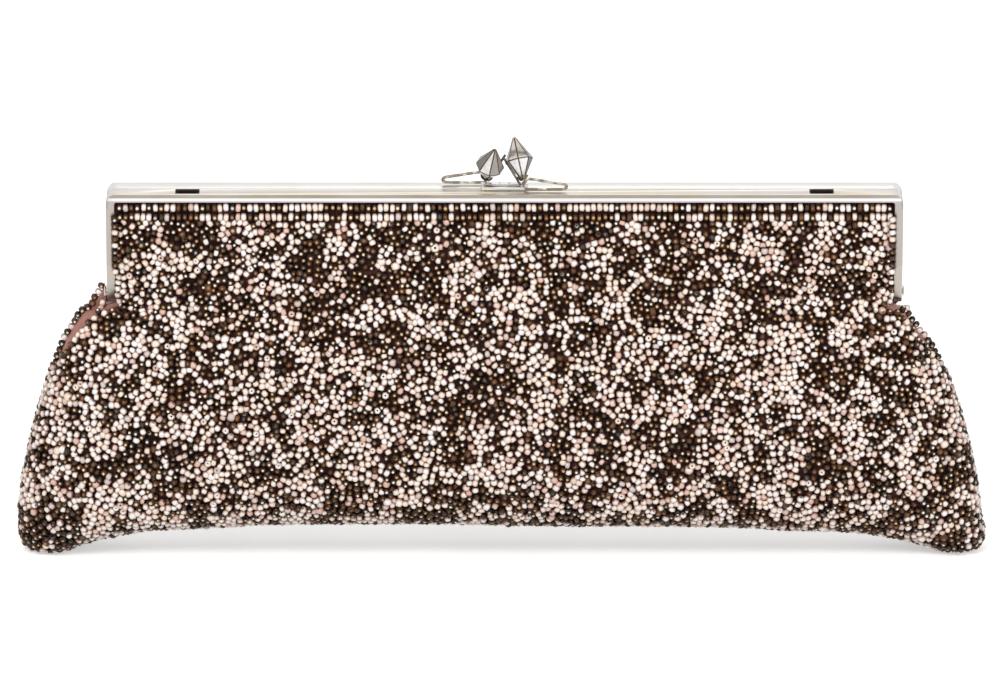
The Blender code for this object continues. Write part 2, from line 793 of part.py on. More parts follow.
def top_lining(name, facing, collection, material):
    """Lining behind the upper cloth, from the channel down to just above the hinge."""
    tongue_outside = cord_depth() - CORD_RADIUS - CHANNEL_GAP
    bottom = HINGE_HEIGHT + LINING_LIFT
    below_lip = panel_row_height(PANEL_ROWS - 1, 0)
    heights = [
        bottom + (below_lip - bottom) * row / (PANEL_ROWS - 2) for row in range(PANEL_ROWS - 1)
    ]
    tongue_rows = (PANEL_TOP, TONGUE_TOP)

    def grid(wall):
        def place(column, row):
            x = panel_half_width() * spread(column, TOP_LINING_COLUMNS)
            if row >= len(heights):
                height = tongue_rows[row - len(heights)]
                return (x, facing * (tongue_outside - wall), height)
            depth = panel_depth(x, heights[row]) - CLOTH_WALL - LINING_GAP
            return (x, facing * (depth - wall), heights[row])
        return place

    rows = len(heights) + len(tongue_rows) - 1
    piece = shell_between(
        name, TOP_LINING_COLUMNS, rows, grid(0), grid(LINING_WALL), collection
    )
    finish_round(piece, material)
    return piece


# The clasp. Each half has a plate, a wire loop and a post that carries a crystal. The
# rear set is the front set turned half round about the upright axis.

PLATE_TOP = PART_GAP + PLATE_THICKNESS


def half_turn(facing):
    return Matrix.Translation((0, 0, FRAME_TOP)) @ Matrix.Rotation(
        0 if facing < 0 else math.pi, 4, "Z"
    )


def post_foot():
    return Vector((POST_PLACE, -PLATE_DEPTH, PLATE_TOP))


def crystal_centre():
    return Vector((CRYSTAL_PLACE, -CRYSTAL_DEPTH, CRYSTAL_RISE))


def post_axis():
    """A frame with its Z axis from the post's foot through the crystal."""
    along = (crystal_centre() - post_foot()).normalized()
    turn = Vector((0, 0, 1)).rotation_difference(along)
    return Matrix.Translation(post_foot()) @ turn.to_matrix().to_4x4()


def crystal_end():
    """How far up the post's axis the crystal's lower end lies."""
    return (crystal_centre() - post_foot()).length - CRYSTAL_LOWER


def clasp_plate(name, facing, collection, material):
    length, width = PLATE_LENGTH / 2, PLATE_WIDTH / 2
    radius = PLATE_CORNER_RADIUS
    turn = math.pi / 2
    outline = []
    for index, (across, deep) in enumerate(((1, 1), (-1, 1), (-1, -1), (1, -1))):
        centre_x = across * (length - radius)
        centre_y = -PLATE_DEPTH + deep * (width - radius)
        outline += arc(centre_x, centre_y, radius, index * turn, (index + 1) * turn, 3)
    holes = []
    for index in range(PLATE_HOLES):
        x = (index - (PLATE_HOLES - 1) / 2) * PLATE_HOLE_PITCH
        hole = arc(x, -PLATE_DEPTH, PLATE_HOLE_RADIUS, 0, 4 * turn, HOLE_STEPS)
        holes.append(hole[:-1])
    place = half_turn(facing) @ Matrix.Translation((0, 0, PART_GAP + PLATE_THICKNESS / 2))
    curve = flat_curve([outline, *holes], PLATE_THICKNESS)
    piece = solid_from_curve(name, curve, collection, place)
    finish_round(piece, material)
    return piece


def clasp_loop(name, facing, collection, material):
    """A wire loop beside the plate, which leans out over the frame."""
    base = PART_GAP + LOOP_WIRE_RADIUS
    points = [
        Vector((LOOP_START + (LOOP_REACH - LOOP_START) * out, -LOOP_DEPTH, base + LOOP_RISE * up))
        for out, up in LOOP_SHARES
    ]
    path = smooth_path(points, LOOP_POINTS_PER_SPAN)
    curve = wire_curve([path], LOOP_WIRE_RADIUS, 2)
    piece = solid_from_curve(name, curve, collection, half_turn(facing))
    finish_round(piece, material)
    return piece


def cross_wire(name, facing, collection, material):
    """A straight wire that leans from the plate across the other half's crystal."""
    path = [Vector(WIRE_FOOT), Vector(WIRE_TIP)]
    curve = wire_curve([path], CROSS_WIRE_RADIUS, 2)
    piece = solid_from_curve(name, curve, collection, half_turn(facing))
    finish_round(piece, material)
    return piece


def clasp_post(name, facing, collection, material):
    """A pin with a ball foot, up to just under the crystal's cap."""
    ball = POST_BALL_RADIUS
    centre = PART_GAP + ball
    top = crystal_end() - CAP_CLEARANCE - CAP_WALL - PART_GAP
    neck = math.asin(POST_RADIUS / ball)
    profile = [(0, top), (POST_RADIUS, top)]
    angles = [neck + (math.pi - neck) * step / 6 for step in range(7)]
    profile += [(ball * math.sin(a), centre + ball * math.cos(a)) for a in angles[:-1]]
    profile.append((0, centre - ball))
    piece = turned(name, profile, POST_STEPS, collection, half_turn(facing) @ post_axis())
    finish_round(piece, material)
    return piece


def crystal_cap(name, facing, collection, material):
    """A thin metal cup round the crystal's lower end."""
    floor = crystal_end() - CAP_CLEARANCE
    slope = (CRYSTAL_RADIUS - CRYSTAL_END_RADIUS) / CRYSTAL_LOWER
    rim_radius = CRYSTAL_END_RADIUS + (CAP_HEIGHT - CAP_CLEARANCE) * slope + CAP_CLEARANCE
    profile = [
        (0, floor), (CRYSTAL_END_RADIUS, floor), (rim_radius, floor + CAP_HEIGHT),
        (rim_radius + CAP_WALL, floor + CAP_HEIGHT), (CRYSTAL_END_RADIUS, floor - CAP_WALL),
        (0, floor - CAP_WALL),
    ]
    piece = turned(name, profile, CAP_STEPS, collection, half_turn(facing) @ post_axis())
    finish_round(piece, material)
    return piece


def crystal(name, facing, collection, material):
    """A long two-ended crystal with flat facets."""
    low = crystal_end()
    middle = low + CRYSTAL_LOWER
    profile = [
        (0, middle + CRYSTAL_UPPER), (CRYSTAL_TIP_RADIUS, middle + CRYSTAL_UPPER),
        (CRYSTAL_RADIUS, middle), (CRYSTAL_END_RADIUS, low), (0, low),
    ]
    piece = turned(name, profile, CRYSTAL_FACETS, collection, half_turn(facing) @ post_axis())
    finish_faceted(piece, material)
    return piece


# Putting the bag together

def build():
    clear_objects()
    parts = make_collection("beaded_clutch")
    cutters = make_collection("cutters")

    nickel = make_material("pale_nickel", (0.80, 0.77, 0.72), 0.22, 1)
    wire = make_material("clasp_wire", (0.62, 0.58, 0.52), 0.25, 1)
    beadwork = make_material("beadwork", (0.36, 0.27, 0.24), 0.35, 0)
    dark_beads = make_material("edge_beads", (0.20, 0.13, 0.10), 0.25, 0)
    satin = make_material("rose_satin", (0.55, 0.40, 0.37), 0.45, 0)
    paper = make_material("paper_cord", (0.70, 0.64, 0.55), 0.85, 0)
    glass = make_material("smoky_crystal", (0.78, 0.75, 0.70), 0.05, 0)

    beaded_panel("front_beaded_panel", -1, parts, beadwork)
    beaded_panel("rear_beaded_panel", 1, parts, beadwork)
    pouch_lining(parts, satin)
    edge_beads("left_edge_beads", -1, parts, dark_beads)
    edge_beads("right_edge_beads", 1, parts, dark_beads)

    cord_paths = {"front": front_cord_paths(), "rear": {"rear_frame_cord": cord_path(1)}}
    frames = {"front": front_frame, "rear": rear_frame}
    for end, facing in (("front", -1), ("rear", 1)):
        hinge = pivot(end + "_hinge_axis", (0, 0, HINGE_HEIGHT), parts)
        pieces = [
            frames[end](parts, cutters, nickel),
            top_panel(end + "_top_panel", facing, parts, beadwork),
            top_lining(end + "_top_lining", facing, parts, satin),
            clasp_plate(end + "_clasp_plate", facing, parts, nickel),
            clasp_loop(end + "_clasp_loop", facing, parts, wire),
            cross_wire(end + "_cross_wire", facing, parts, wire),
        ]
        for name, path in cord_paths[end].items():
            pieces.append(frame_cord(name, path, parts, paper))
        for side, tag in ((-1, "left"), (1, "right")):
            if end == "front":
                pieces.append(chain_bar(tag + "_chain_bar", side, parts, wire))
            else:
                pieces.append(hinge_rivet(tag + "_hinge_rivet", side, parts, nickel))
        for piece in pieces:
            attach(piece, hinge)

        foot = half_turn(facing) @ post_foot()
        spring = pivot(end + "_post_axis", foot, parts, hinge)
        for piece in (
            clasp_post(end + "_clasp_post", facing, parts, wire),
            crystal_cap(end + "_crystal_cap", facing, parts, nickel),
            crystal(end + "_crystal", facing, parts, glass),
        ):
            attach(piece, spring)


build()
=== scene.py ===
import bisect
import math
import random

import bmesh
import bpy
import numpy as np
from mathutils import Matrix, Vector, noise


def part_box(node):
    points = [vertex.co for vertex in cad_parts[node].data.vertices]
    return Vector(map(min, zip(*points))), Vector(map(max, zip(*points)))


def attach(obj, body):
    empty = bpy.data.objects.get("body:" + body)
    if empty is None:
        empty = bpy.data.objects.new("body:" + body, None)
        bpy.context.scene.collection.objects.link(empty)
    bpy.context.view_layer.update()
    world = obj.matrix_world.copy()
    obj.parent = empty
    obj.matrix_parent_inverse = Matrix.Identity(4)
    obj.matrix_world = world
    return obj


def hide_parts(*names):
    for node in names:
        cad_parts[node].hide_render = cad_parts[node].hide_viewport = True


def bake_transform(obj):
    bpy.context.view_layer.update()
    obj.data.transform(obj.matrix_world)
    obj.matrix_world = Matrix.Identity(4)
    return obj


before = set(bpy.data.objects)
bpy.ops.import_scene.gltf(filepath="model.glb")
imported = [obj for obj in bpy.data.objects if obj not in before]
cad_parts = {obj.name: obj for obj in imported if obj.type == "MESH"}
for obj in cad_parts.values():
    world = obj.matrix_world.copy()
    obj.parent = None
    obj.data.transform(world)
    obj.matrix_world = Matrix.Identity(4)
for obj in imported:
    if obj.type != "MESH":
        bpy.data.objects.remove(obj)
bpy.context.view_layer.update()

print("packed bag loaded")

# shader maths

perMetre = 1000.0  # patterns and the lines of a finish are given in millimetres


class Field:
    # wraps a node's output, so that values are worked out with plain signs
    def __init__(self, tree, socket):
        self.tree = tree
        self.socket = socket

    def maths(self, operation, *terms):
        node = self.tree.nodes.new("ShaderNodeMath")
        node.operation = operation
        for slot, term in zip(node.inputs, terms):
            if isinstance(term, Field):
                self.tree.links.new(term.socket, slot)
            else:
                slot.default_value = term
        return Field(self.tree, node.outputs[0])

    def __add__(self, other): return self.maths("ADD", self, other)
    def __radd__(self, other): return self.maths("ADD", other, self)
    def __sub__(self, other): return self.maths("SUBTRACT", self, other)
    def __rsub__(self, other): return self.maths("SUBTRACT", other, self)
    def __mul__(self, other): return self.maths("MULTIPLY", self, other)
    def __rmul__(self, other): return self.maths("MULTIPLY", other, self)
    def __pow__(self, other): return self.maths("POWER", self, other)
    def size(self): return self.maths("ABSOLUTE", self)
    def part(self): return self.maths("FRACT", self)
    def larger(self, other): return self.maths("MAXIMUM", self, other)

    def step(self, low, high):
        # 0 below low, 1 above high, soft between them
        share = self.maths("MULTIPLY", self - low, 1 / (high - low))
        held = share.maths("MINIMUM", share.larger(0), 1)
        return held * held * (3 - 2 * held)


class Finish:
    # one material of the bag, with its Principled shader
    def __init__(self, name, **fixed):
        self.material = bpy.data.materials.new(name)
        self.material.use_nodes = True
        self.tree = self.material.node_tree
        self.shader = self.tree.nodes["Principled BSDF"]
        self.fill(self.shader, fixed)

    def fill(self, node, values):
        for key, value in values.items():
            slot = node.inputs[key if isinstance(key, int) else key.replace("_", " ")]
            if isinstance(value, Field):
                self.tree.links.new(value.socket, slot)
            else:
                slot.default_value = value

    def add(self, kind, settings=None, values=None, out=0):
        # any node: its settings first, then its sockets; gives back one of its outputs
        node = self.tree.nodes.new("ShaderNode" + kind)
        for key, value in (settings or {}).items():
            if key == "stops":
                self.setStops(node.color_ramp, value)
            else:
                setattr(node, key, value)
        self.fill(node, values or {})
        return Field(self.tree, node.outputs[out])

    def setStops(self, ramp, stops):
        while len(ramp.elements) < len(stops):
            ramp.elements.new(1)
        for element, (place, colour) in zip(ramp.elements, stops):
            element.position = place
            element.color = (*colour, 1)

    def ramp(self, value, stops):
        return self.add("ValToRGB", {"stops": stops}, {"Fac": value})

    def mix(self, share, first, second):
        # colours meet here: 6 and 7 are the two colour sockets, 2 the colour output
        values = {0: share, 6: self.rgba(first), 7: self.rgba(second)}
        return self.add("Mix", {"data_type": "RGBA"}, values, out=2)

    def rgba(self, colour):
        return colour if isinstance(colour, Field) else (*colour, 1)

    def place(self):
        # object coordinates in millimetres; 3 is the Object output
        spot = self.add("TexCoord", out=3)
        return self.add("VectorMath", {"operation": "SCALE"}, {"Vector": spot, "Scale": perMetre})

    def axes(self, vector):
        split = self.add("SeparateXYZ", None, {"Vector": vector}).socket.node
        return [Field(self.tree, output) for output in split.outputs]

    def note(self, name, kind="Fac"):
        # a value or vector stored on the mesh
        return self.add("Attribute", {"attribute_name": name}, out=kind)

    def clouds(self, vector, scale, detail=2.0, roughness=0.5):
        values = {"Vector": vector, "Scale": scale, "Detail": detail, "Roughness": roughness}
        return self.add("TexNoise", None, values)

    def waves(self, vector, direction, values):
        # 1 is the wave as a plain value
        settings = {"bands_direction": direction}
        return self.add("TexWave", settings, {"Vector": vector, **values}, out=1)

    def bump(self, height, strength, distance):
        values = {"Height": height, "Strength": strength, "Distance": distance}
        return self.add("Bump", None, values)

    def give(self, **values):
        self.fill(self.shader, values)
        return self.material


# the finishes

darkBead = {
    "bodies": [
        (0.0, (0.014, 0.007, 0.005)), (0.4, (0.034, 0.014, 0.008)), (0.62, (0.07, 0.026, 0.012)),
        (0.78, (0.01, 0.008, 0.008)), (0.9, (0.022, 0.02, 0.021)), (1.0, (0.11, 0.044, 0.018)),
    ],
    # colours of the painted highlight: a small bright dot in the middle of each dark bead
    "paintedHighlights": [
        (0.0, (0.08, 0.04, 0.016)), (0.28, (0.3, 0.14, 0.055)), (0.52, (0.72, 0.44, 0.2)),
        (0.72, (0.92, 0.74, 0.5)), (0.9, (0.97, 0.92, 0.85)), (1.0, (0.3, 0.18, 0.1)),
    ],
    "paintedHighlightShift": 17.3,  # so that a bead's painted highlight doesn't follow its body
    "paintedHighlightEdge": (0.16, 0.44), "paintedHighlightFacing": (0.2, 0.5),
}
paleBead = {
    "bodies": [
        (0.0, (0.94, 0.91, 0.88)), (0.18, (0.88, 0.77, 0.66)), (0.36, (0.92, 0.86, 0.82)),
        (0.52, (0.9, 0.74, 0.6)), (0.66, (0.94, 0.92, 0.9)), (0.82, (0.87, 0.73, 0.65)),
        (0.92, (0.72, 0.47, 0.38)), (1.0, (0.62, 0.59, 0.57)),
    ],
    # rim: painted shade round the edge of each pale bead, seen from outside
    "rim": (0.36, 0.16, 0.1), "rimShadeEdge": (0.42, 1.0), "rimShadeStrength": 0.85,
    # foot: painted shade on the side of each pale bead that lies against the cloth, tinted by a
    # painted reflection of the satin
    "foot": (0.16, 0.06, 0.045), "footShadeEdge": (-0.3, 0.45),
}


def onBead(finish):
    # how far a point lies from the middle of its bead, seen from outside, and how far out
    across, along, out = finish.axes(finish.note("beadPlace", "Vector"))
    return (across * across + along * along) ** 0.5, out


def darkBeadFinish():
    glass = Finish(
        "brownGlassBeads", Roughness=0.22, IOR=1.5, Specular_IOR_Level=0.3,
        Specular_Tint=(1.0, 0.84, 0.68, 1),
    )
    tone = glass.note("beadTone")
    body = glass.ramp(tone, darkBead["bodies"])
    paintedHighlight = glass.ramp((tone * darkBead["paintedHighlightShift"]).part(), darkBead["paintedHighlights"])
    away, out = onBead(glass)
    # a painted highlight: a bright dot in the middle of each bead, on its outward side
    shine = (1 - away.step(*darkBead["paintedHighlightEdge"])) * out.step(*darkBead["paintedHighlightFacing"])
    return glass.give(Base_Color=glass.mix(shine, body, paintedHighlight))


def paleBeadFinish():
    pearl = Finish("pearlBeads", Roughness=0.26, IOR=1.5, Coat_Weight=0.2, Coat_Roughness=0.1)
    body = pearl.ramp(pearl.note("beadTone"), paleBead["bodies"])
    away, out = onBead(pearl)
    # painted shade: each pale bead darkens towards its rim, as seen from outside
    rim = away.step(*paleBead["rimShadeEdge"]) * paleBead["rimShadeStrength"]
    shaded = pearl.mix(rim, body, paleBead["rim"])
    # painted shade on the side towards the cloth, tinted rose by a painted reflection of the
    # satin
    low = 1 - out.step(*paleBead["footShadeEdge"])
    return pearl.give(Base_Color=pearl.mix(low, shaded, paleBead["foot"]))


weave = {
    "warp": {"Scale": 1.6, "Distortion": 0.6, "Detail": 1.0}, "warpShare": 0.6,
    "weft": {"Scale": 2.4, "Distortion": 0.5, "Detail": 1.0}, "weftShare": 0.4,
    "foldScale": 0.05, "foldShare": 0.7, "tintEdge": (0.25, 0.75),
    # the ground under the beads: dark thread with painted shade, lighter in patches
    "lightPatchScale": 0.35, "lightPatchEdge": (0.52, 0.72),
    "shadedThread": (0.055, 0.017, 0.013), "lightPatch": (0.19, 0.06, 0.048),
    "roughness": 0.42, "threadRoughness": 0.4, "threadHeight": 0.25,
}


def satinFinish(name, colour, deep):
    satin = Finish(name, Sheen_Weight=0.08, Sheen_Roughness=0.4, Specular_IOR_Level=0.3)
    spot = satin.place()
    warp = satin.waves(spot, "X", weave["warp"]) * weave["warpShare"]
    weft = satin.waves(spot, "Z", weave["weft"]) * weave["weftShare"]
    woven = warp + weft
    folds = satin.clouds(spot, weave["foldScale"], detail=3.0)
    blended = folds * weave["foldShare"] + woven * (1 - weave["foldShare"])
    tint = satin.mix(blended.step(*weave["tintEdge"]), deep, colour)
    # the ground between the beads shows their dark thread, with the beads' shade painted over it,
    # lighter in patches
    under = satin.note("underBeads")
    lightPatches = satin.clouds(spot, weave["lightPatchScale"]).step(*weave["lightPatchEdge"])
    shadedThread = satin.mix(lightPatches, weave["shadedThread"], weave["lightPatch"])
    return satin.give(
        Base_Color=satin.mix(under, tint, shadedThread),
        Roughness=weave["roughness"] + weave["threadRoughness"] * under,
        Normal=satin.bump(woven * weave["threadHeight"] + folds, strength=0.35, distance=0.0006),
    )


# colours of the frame's finish, and the lines in millimetres where they meet
nickel = {
    "top": (0.73, 0.725, 0.715), "topWarm": (0.66, 0.6, 0.5), "topSpan": (-2.0, 4.5),
    "spanShare": 0.6, "patchEdge": (0.3, 0.7),
    "lip": (0.74, 0.73, 0.72), "lipDull": (0.42, 0.37, 0.38),
    "lipFace": (5.2, 5.4), "lipEdge": (103.95, 104.3),
    # arm: the colour of a painted dark reflection on the arms
    "arm": (0.42, 0.375, 0.33), "armStart": (101.5, 103.5), "armStrength": 0.85,
    "corner": (0.26, 0.23, 0.18), "cornerSide": (109.0, 109.9), "cornerStrength": 0.7,
    "cornerFoot": (100.5, 103.5), "cornerTop": (105.5, 105.95),
    # fold: the colour of a painted dark reflection along the outer top edge
    "fold": (0.285, 0.225, 0.16), "foldEdge": (104.85, 105.15), "foldFace": (5.1, 5.35),
    "foldLeast": 0.7,
    # slot: painted shade in the two chain slots
    "slot": (0.012, 0.009, 0.008), "slotAcross": 87.5, "slotDepth": -2.6,
    "slotEnd": (3.2, 3.5), "slotSide": (1.85, 2.2),
    "roughness": 0.2, "fineRoughness": 0.14, "broadRoughness": 0.1, "dullRoughness": 0.4,
    "dullness": 0.9,
}


def nickelFinish():
    metal = Finish("paleNickel")
    spot = metal.place()
    x, y, z = metal.axes(spot)
    fine = metal.clouds(spot, scale=0.9, detail=4.0, roughness=0.6)
    broad = metal.clouds(spot, scale=0.06)
    warm = (0 - y).step(*nickel["topSpan"]) * nickel["spanShare"]
    warm = warm + broad.step(*nickel["patchEdge"]) * (1 - nickel["spanShare"])
    top = metal.mix(warm, nickel["top"], nickel["topWarm"])
    # the turned-down lip is bright, with a dull line along its lower edge
    lip = metal.mix(z.step(*nickel["lipEdge"]), nickel["lipDull"], nickel["lip"])
    lipped = metal.mix(y.size().step(*nickel["lipFace"]), top, lip)
    # the arms below the top bar get a painted dark reflection
    arms = (1 - z.step(*nickel["armStart"])) * nickel["armStrength"]
    armReflected = metal.mix(arms, lipped, nickel["arm"])
    height = z.step(*nickel["cornerFoot"]) * (1 - z.step(*nickel["cornerTop"]))
    corner = x.size().step(*nickel["cornerSide"]) * height * nickel["cornerStrength"]
    cornered = metal.mix(corner, armReflected, nickel["corner"])
    # the fold along the outer top edge gets a painted dark brown reflection, and a dull finish
    fold = z.step(*nickel["foldEdge"]) * y.size().step(*nickel["foldFace"])
    fold = fold * (nickel["foldLeast"] + (1 - nickel["foldLeast"]) * broad)
    foldReflected = metal.mix(fold, cornered, nickel["fold"])
    # the two chain slots get painted shade, black on walls and rims, and a dull finish
    within = 1 - (x.size() - nickel["slotAcross"]).size().step(*nickel["slotEnd"])
    slot = within * (1 - (y - nickel["slotDepth"]).size().step(*nickel["slotSide"]))
    dull = fold.larger(slot)
    rough = nickel["roughness"] + nickel["fineRoughness"] * fine
    rough = rough + nickel["broadRoughness"] * broad + nickel["dullRoughness"] * dull
    return metal.give(
        Base_Color=metal.mix(slot, foldReflected, nickel["slot"]), Roughness=rough,
        Metallic=1 - dull * nickel["dullness"],
        Normal=metal.bump(fine, strength=0.05, distance=0.0002),
    )


wireWear = {"edge": (0.28, 0.58), "roughness": 0.2, "dullRoughness": 0.2}


def wireFinish(name, bright, dark):
    wire = Finish(name, Metallic=1.0)
    dull = wire.clouds(wire.place(), scale=0.5, detail=3.0, roughness=0.6)
    tint = wire.mix(dull.step(*wireWear["edge"]), bright, dark)
    rough = wireWear["roughness"] + wireWear["dullRoughness"] * dull
    return wire.give(Base_Color=tint, Roughness=rough)


paperCord = {
    "twist": {"Scale": 1.2, "Distortion": 1.0},
    "groove": (0.5, 0.42, 0.32), "ridge": (0.72, 0.66, 0.56),
}


def cordFinish():
    cord = Finish("paperCord", Roughness=0.85)
    twist = cord.waves(cord.place(), "DIAGONAL", paperCord["twist"])
    tint = cord.mix(twist, paperCord["groove"], paperCord["ridge"])
    return cord.give(Base_Color=tint, Normal=cord.bump(twist, strength=0.5, distance=0.0003))


glassKnob = {
    "facets": [
        (0.0, (0.035, 0.022, 0.012)), (0.2, (0.12, 0.09, 0.065)), (0.4, (0.22, 0.19, 0.16)),
        (0.62, (0.4, 0.37, 0.33)), (0.8, (0.62, 0.55, 0.47)), (1.0, (0.95, 0.94, 0.93)),
    ],
    "mist": (0.3, 0.25, 0.2), "mistEdge": (0.45, 0.75), "mistStrength": 0.3,
    "band": (0.07, 0.055, 0.045), "bandFoot": (0.49, 0.54), "bandTop": (0.62, 0.78),
    "bandStrength": 0.75, "patchEdge": (0.36, 0.6), "patchShare": 0.65,
}


def crystalFinish():
    crystal = Finish("smokyCrystal", Roughness=0.08, IOR=1.5, Transmission_Weight=0.1)
    tone, along = crystal.note("facetTone"), crystal.note("alongKnob")
    # the facets' colours are painted reflections, lighter and darker facet by facet
    tint = crystal.ramp(tone, glassKnob["facets"])
    spot = crystal.place()
    mist = crystal.clouds(spot, scale=0.5, detail=1.0).step(*glassKnob["mistEdge"])
    misty = crystal.mix(mist * glassKnob["mistStrength"], tint, glassKnob["mist"])
    # broken dark reflections just above the girdle
    patches = crystal.clouds(spot, scale=0.75, detail=1.0).step(*glassKnob["patchEdge"])
    broken = 1 - glassKnob["patchShare"] + glassKnob["patchShare"] * patches
    band = along.step(*glassKnob["bandFoot"]) * (1 - along.step(*glassKnob["bandTop"])) * broken
    return crystal.give(
        Base_Color=crystal.mix(band * glassKnob["bandStrength"], misty, glassKnob["band"]),
    )


finishes = {
    "darkBeads": darkBeadFinish(), "paleBeads": paleBeadFinish(),
    "satin": satinFinish("roseSatin", colour=(0.52, 0.25, 0.2), deep=(0.36, 0.15, 0.115)),
    "lining": satinFinish("roseLining", colour=(0.46, 0.27, 0.23), deep=(0.3, 0.16, 0.13)),
    "nickel": nickelFinish(), "crystal": crystalFinish(), "cord": cordFinish(),
    "wire": wireFinish("claspWire", bright=(0.72, 0.68, 0.6), dark=(0.2, 0.17, 0.13)),
    "agedWire": wireFinish("agedWire", bright=(0.3, 0.26, 0.21), dark=(0.07, 0.055, 0.04)),
}
print("finishes made")


# the shape of the cloth, shared by the satin, the lining and the beads

bag = {
    "panelTop": 0.1034, "panelHalfWidth": 0.1083, "rim": 0.0723, "halfWidth": 0.1322,
    "belly": 0.018, "rimDepth": 0.012, "lipDepth": 0.0054, "armDepth": 0.005,
    "arch": 0.0102, "section": 3.2, "round": 3.2, "roundShare": 0.35, "neck": 1.6,
    "rimSlope": -0.235, "lipSlopeShare": 0.5, "seamInset": 0.8,
    "earTop": 0.0885, "earFoot": 0.0745, "standOff": 0.0013, "leastDepth": 0.0002,
    "shoulderLow": 0.0705, "shoulderTop": 0.0728, "pinch": 0.1065, "pinchTop": 0.0815,
    # soft waves over the whole face: (across, up, slice, strength)
    "wave": 0.0007, "waveFade": 0.3, "waves": [(22, 34, 3.7, 1.0), (55, 70, 9.1, 0.5)],
    # half width at each share of the height
    "sides": [
        (0.0, 0.985), (0.03, 0.996), (0.14, 1.0), (0.28, 0.992), (0.42, 0.976),
        (0.56, 0.957), (0.70, 0.933), (0.84, 0.902), (0.91, 0.877), (1.0, 0.847),
    ],
    # height of the bottom seam from the middle out to the corner
    "archLine": [
        (0.0, 1.0), (0.39, 0.99), (0.515, 0.95), (0.585, 0.88), (0.66, 0.81), (0.72, 0.75),
        (0.78, 0.63), (0.843, 0.43), (0.91, 0.14), (0.945, -0.06), (0.965, -0.11),
        (0.985, -0.1), (1.0, -0.02),
    ],
    # how far the soft pouch leans to the left, at each height
    "lean": [
        (0.0, 0.0014), (0.01, 0.0014), (0.03, 0.0015), (0.045, 0.0016), (0.055, 0.0019),
        (0.062, 0.0025), (0.067, 0.003), (0.0705, 0.0026), (0.0722, 0.0014), (0.0732, 0.0004),
        (0.0742, 0.0), (0.12, 0.0),
    ],
    "leanTop": 0.119,
    # how far the bottom sags, left and right, and how far the right corner reaches out
    "sag": (0.0007, 0.0016), "sagTop": 0.04, "sagTurn": 0.03, "sagEnd": 0.115, "sagFade": 0.04,
    "cornerOut": 0.0018, "cornerFoot": 0.002, "cornerTop": 0.013,
    "cornerFrom": 0.105, "cornerSpan": 0.02,
}
satinSheet = {
    "depthInset": 0.0018, "sideInset": -0.0003, "wall": 0.0005,
    "columns": 96, "rows": 84, "top": 2.0,
}
liningSheet = {
    "depthInset": 0.0029, "sideInset": 0.0022, "wall": 0.0004,
    "columns": 72, "rows": 54, "top": 1.985,
}
# the bare satin beside the side seams; its shade starts a little inside it
strip = {
    "width": {-1: 0.0025, 1: 0.0005}, "foot": 0.053, "rise": 0.019, "top": 0.0704,
    "fade": 0.001, "shadeSpan": 0.0008, "shadeStart": 0.2,
}


def eased(share):
    held = min(max(share, 0.0), 1.0)
    return held * held * (3 - 2 * held)


def softLine(start, leave, end, arrive, t):
    # from start to end with the given slopes, t from 0 to 1
    return (
        start * (2 * t ** 3 - 3 * t ** 2 + 1) + leave * (t ** 3 - 2 * t ** 2 + t)
        + end * (3 * t ** 2 - 2 * t ** 3) + arrive * (t ** 3 - t ** 2)
    )


def alongTable(table, place):
    # a smooth line through the table's points
    last = len(table) - 1
    index = 0
    while index < last - 1 and place > table[index + 1][0]:
        index += 1
    start, end = table[index], table[index + 1]
    before, after = table[max(index - 1, 0)], table[min(index + 2, last)]
    span = end[0] - start[0]
    leave = span * (end[1] - before[1]) / (end[0] - before[0])
    arrive = span * (after[1] - start[1]) / (after[0] - start[0])
    return softLine(start[1], leave, end[1], arrive, (place - start[0]) / span)


def sideRound(across):
    return (1 - min(abs(across), 1.0) ** bag["section"]) ** (1 / bag["section"])


def widthAt(height, up):
    # wide below the frame's ears, then pinched so that it passes between the arms
    wide = bag["halfWidth"] * alongTable(bag["sides"], min(up, 1.0))
    pinched = eased((height - bag["shoulderLow"]) / (bag["shoulderTop"] - bag["shoulderLow"]))
    eases = eased((height - bag["shoulderTop"]) / (bag["pinchTop"] - bag["shoulderTop"]))
    narrow = bag["pinch"] + (bag["panelHalfWidth"] - bag["pinch"]) * eases
    return wide + (narrow - wide) * pinched


def leanAt(height):
    return alongTable(bag["lean"], min(max(height, 0.0), bag["leanTop"]))


def leaned(spot):
    # the pouch's soft lean and sag, on a point of the front or the rear
    left, right = bag["sag"]
    sag = left + (right - left) * eased((spot.x + bag["sagTurn"]) / (2 * bag["sagTurn"]))
    ends = eased((bag["sagEnd"] - abs(spot.x)) / bag["sagFade"])
    sag *= (1 - eased(spot.z / bag["sagTop"])) * ends
    reach = bag["cornerTop"] - bag["cornerFoot"]
    corner = bag["cornerOut"] * (1 - eased((spot.z - bag["cornerFoot"]) / reach))
    spot.x += corner * eased((spot.x - bag["cornerFrom"]) / bag["cornerSpan"])
    spot.x -= leanAt(spot.z)
    spot.z -= sag
    return spot


def stripAt(height, side):
    # width of the bare satin beside the side seam; the pinch above it is covered again
    rise = min(max((height - strip["foot"]) / strip["rise"], 0.0), 1.0)
    return strip["width"][side] * rise * (1 - eased((height - strip["top"]) / strip["fade"]))


def pouchPoint(across, up, depthInset):
    # height, depth in the middle and depth at the sides, from the bottom seam to the rim
    seam = bag["arch"] * alongTable(bag["archLine"], abs(across)) + depthInset * bag["seamInset"]
    height = seam + up * (bag["rim"] - seam)
    turning = 1 - min(up / bag["roundShare"], 1.0)
    rounding = (1 - turning ** bag["round"]) ** (1 / bag["round"])
    above = max((up - bag["roundShare"]) / (1 - bag["roundShare"]), 0.0)
    middle = bag["belly"] - (bag["belly"] - bag["rimDepth"]) * above ** bag["neck"]
    return height, rounding * (middle - depthInset), 0.0


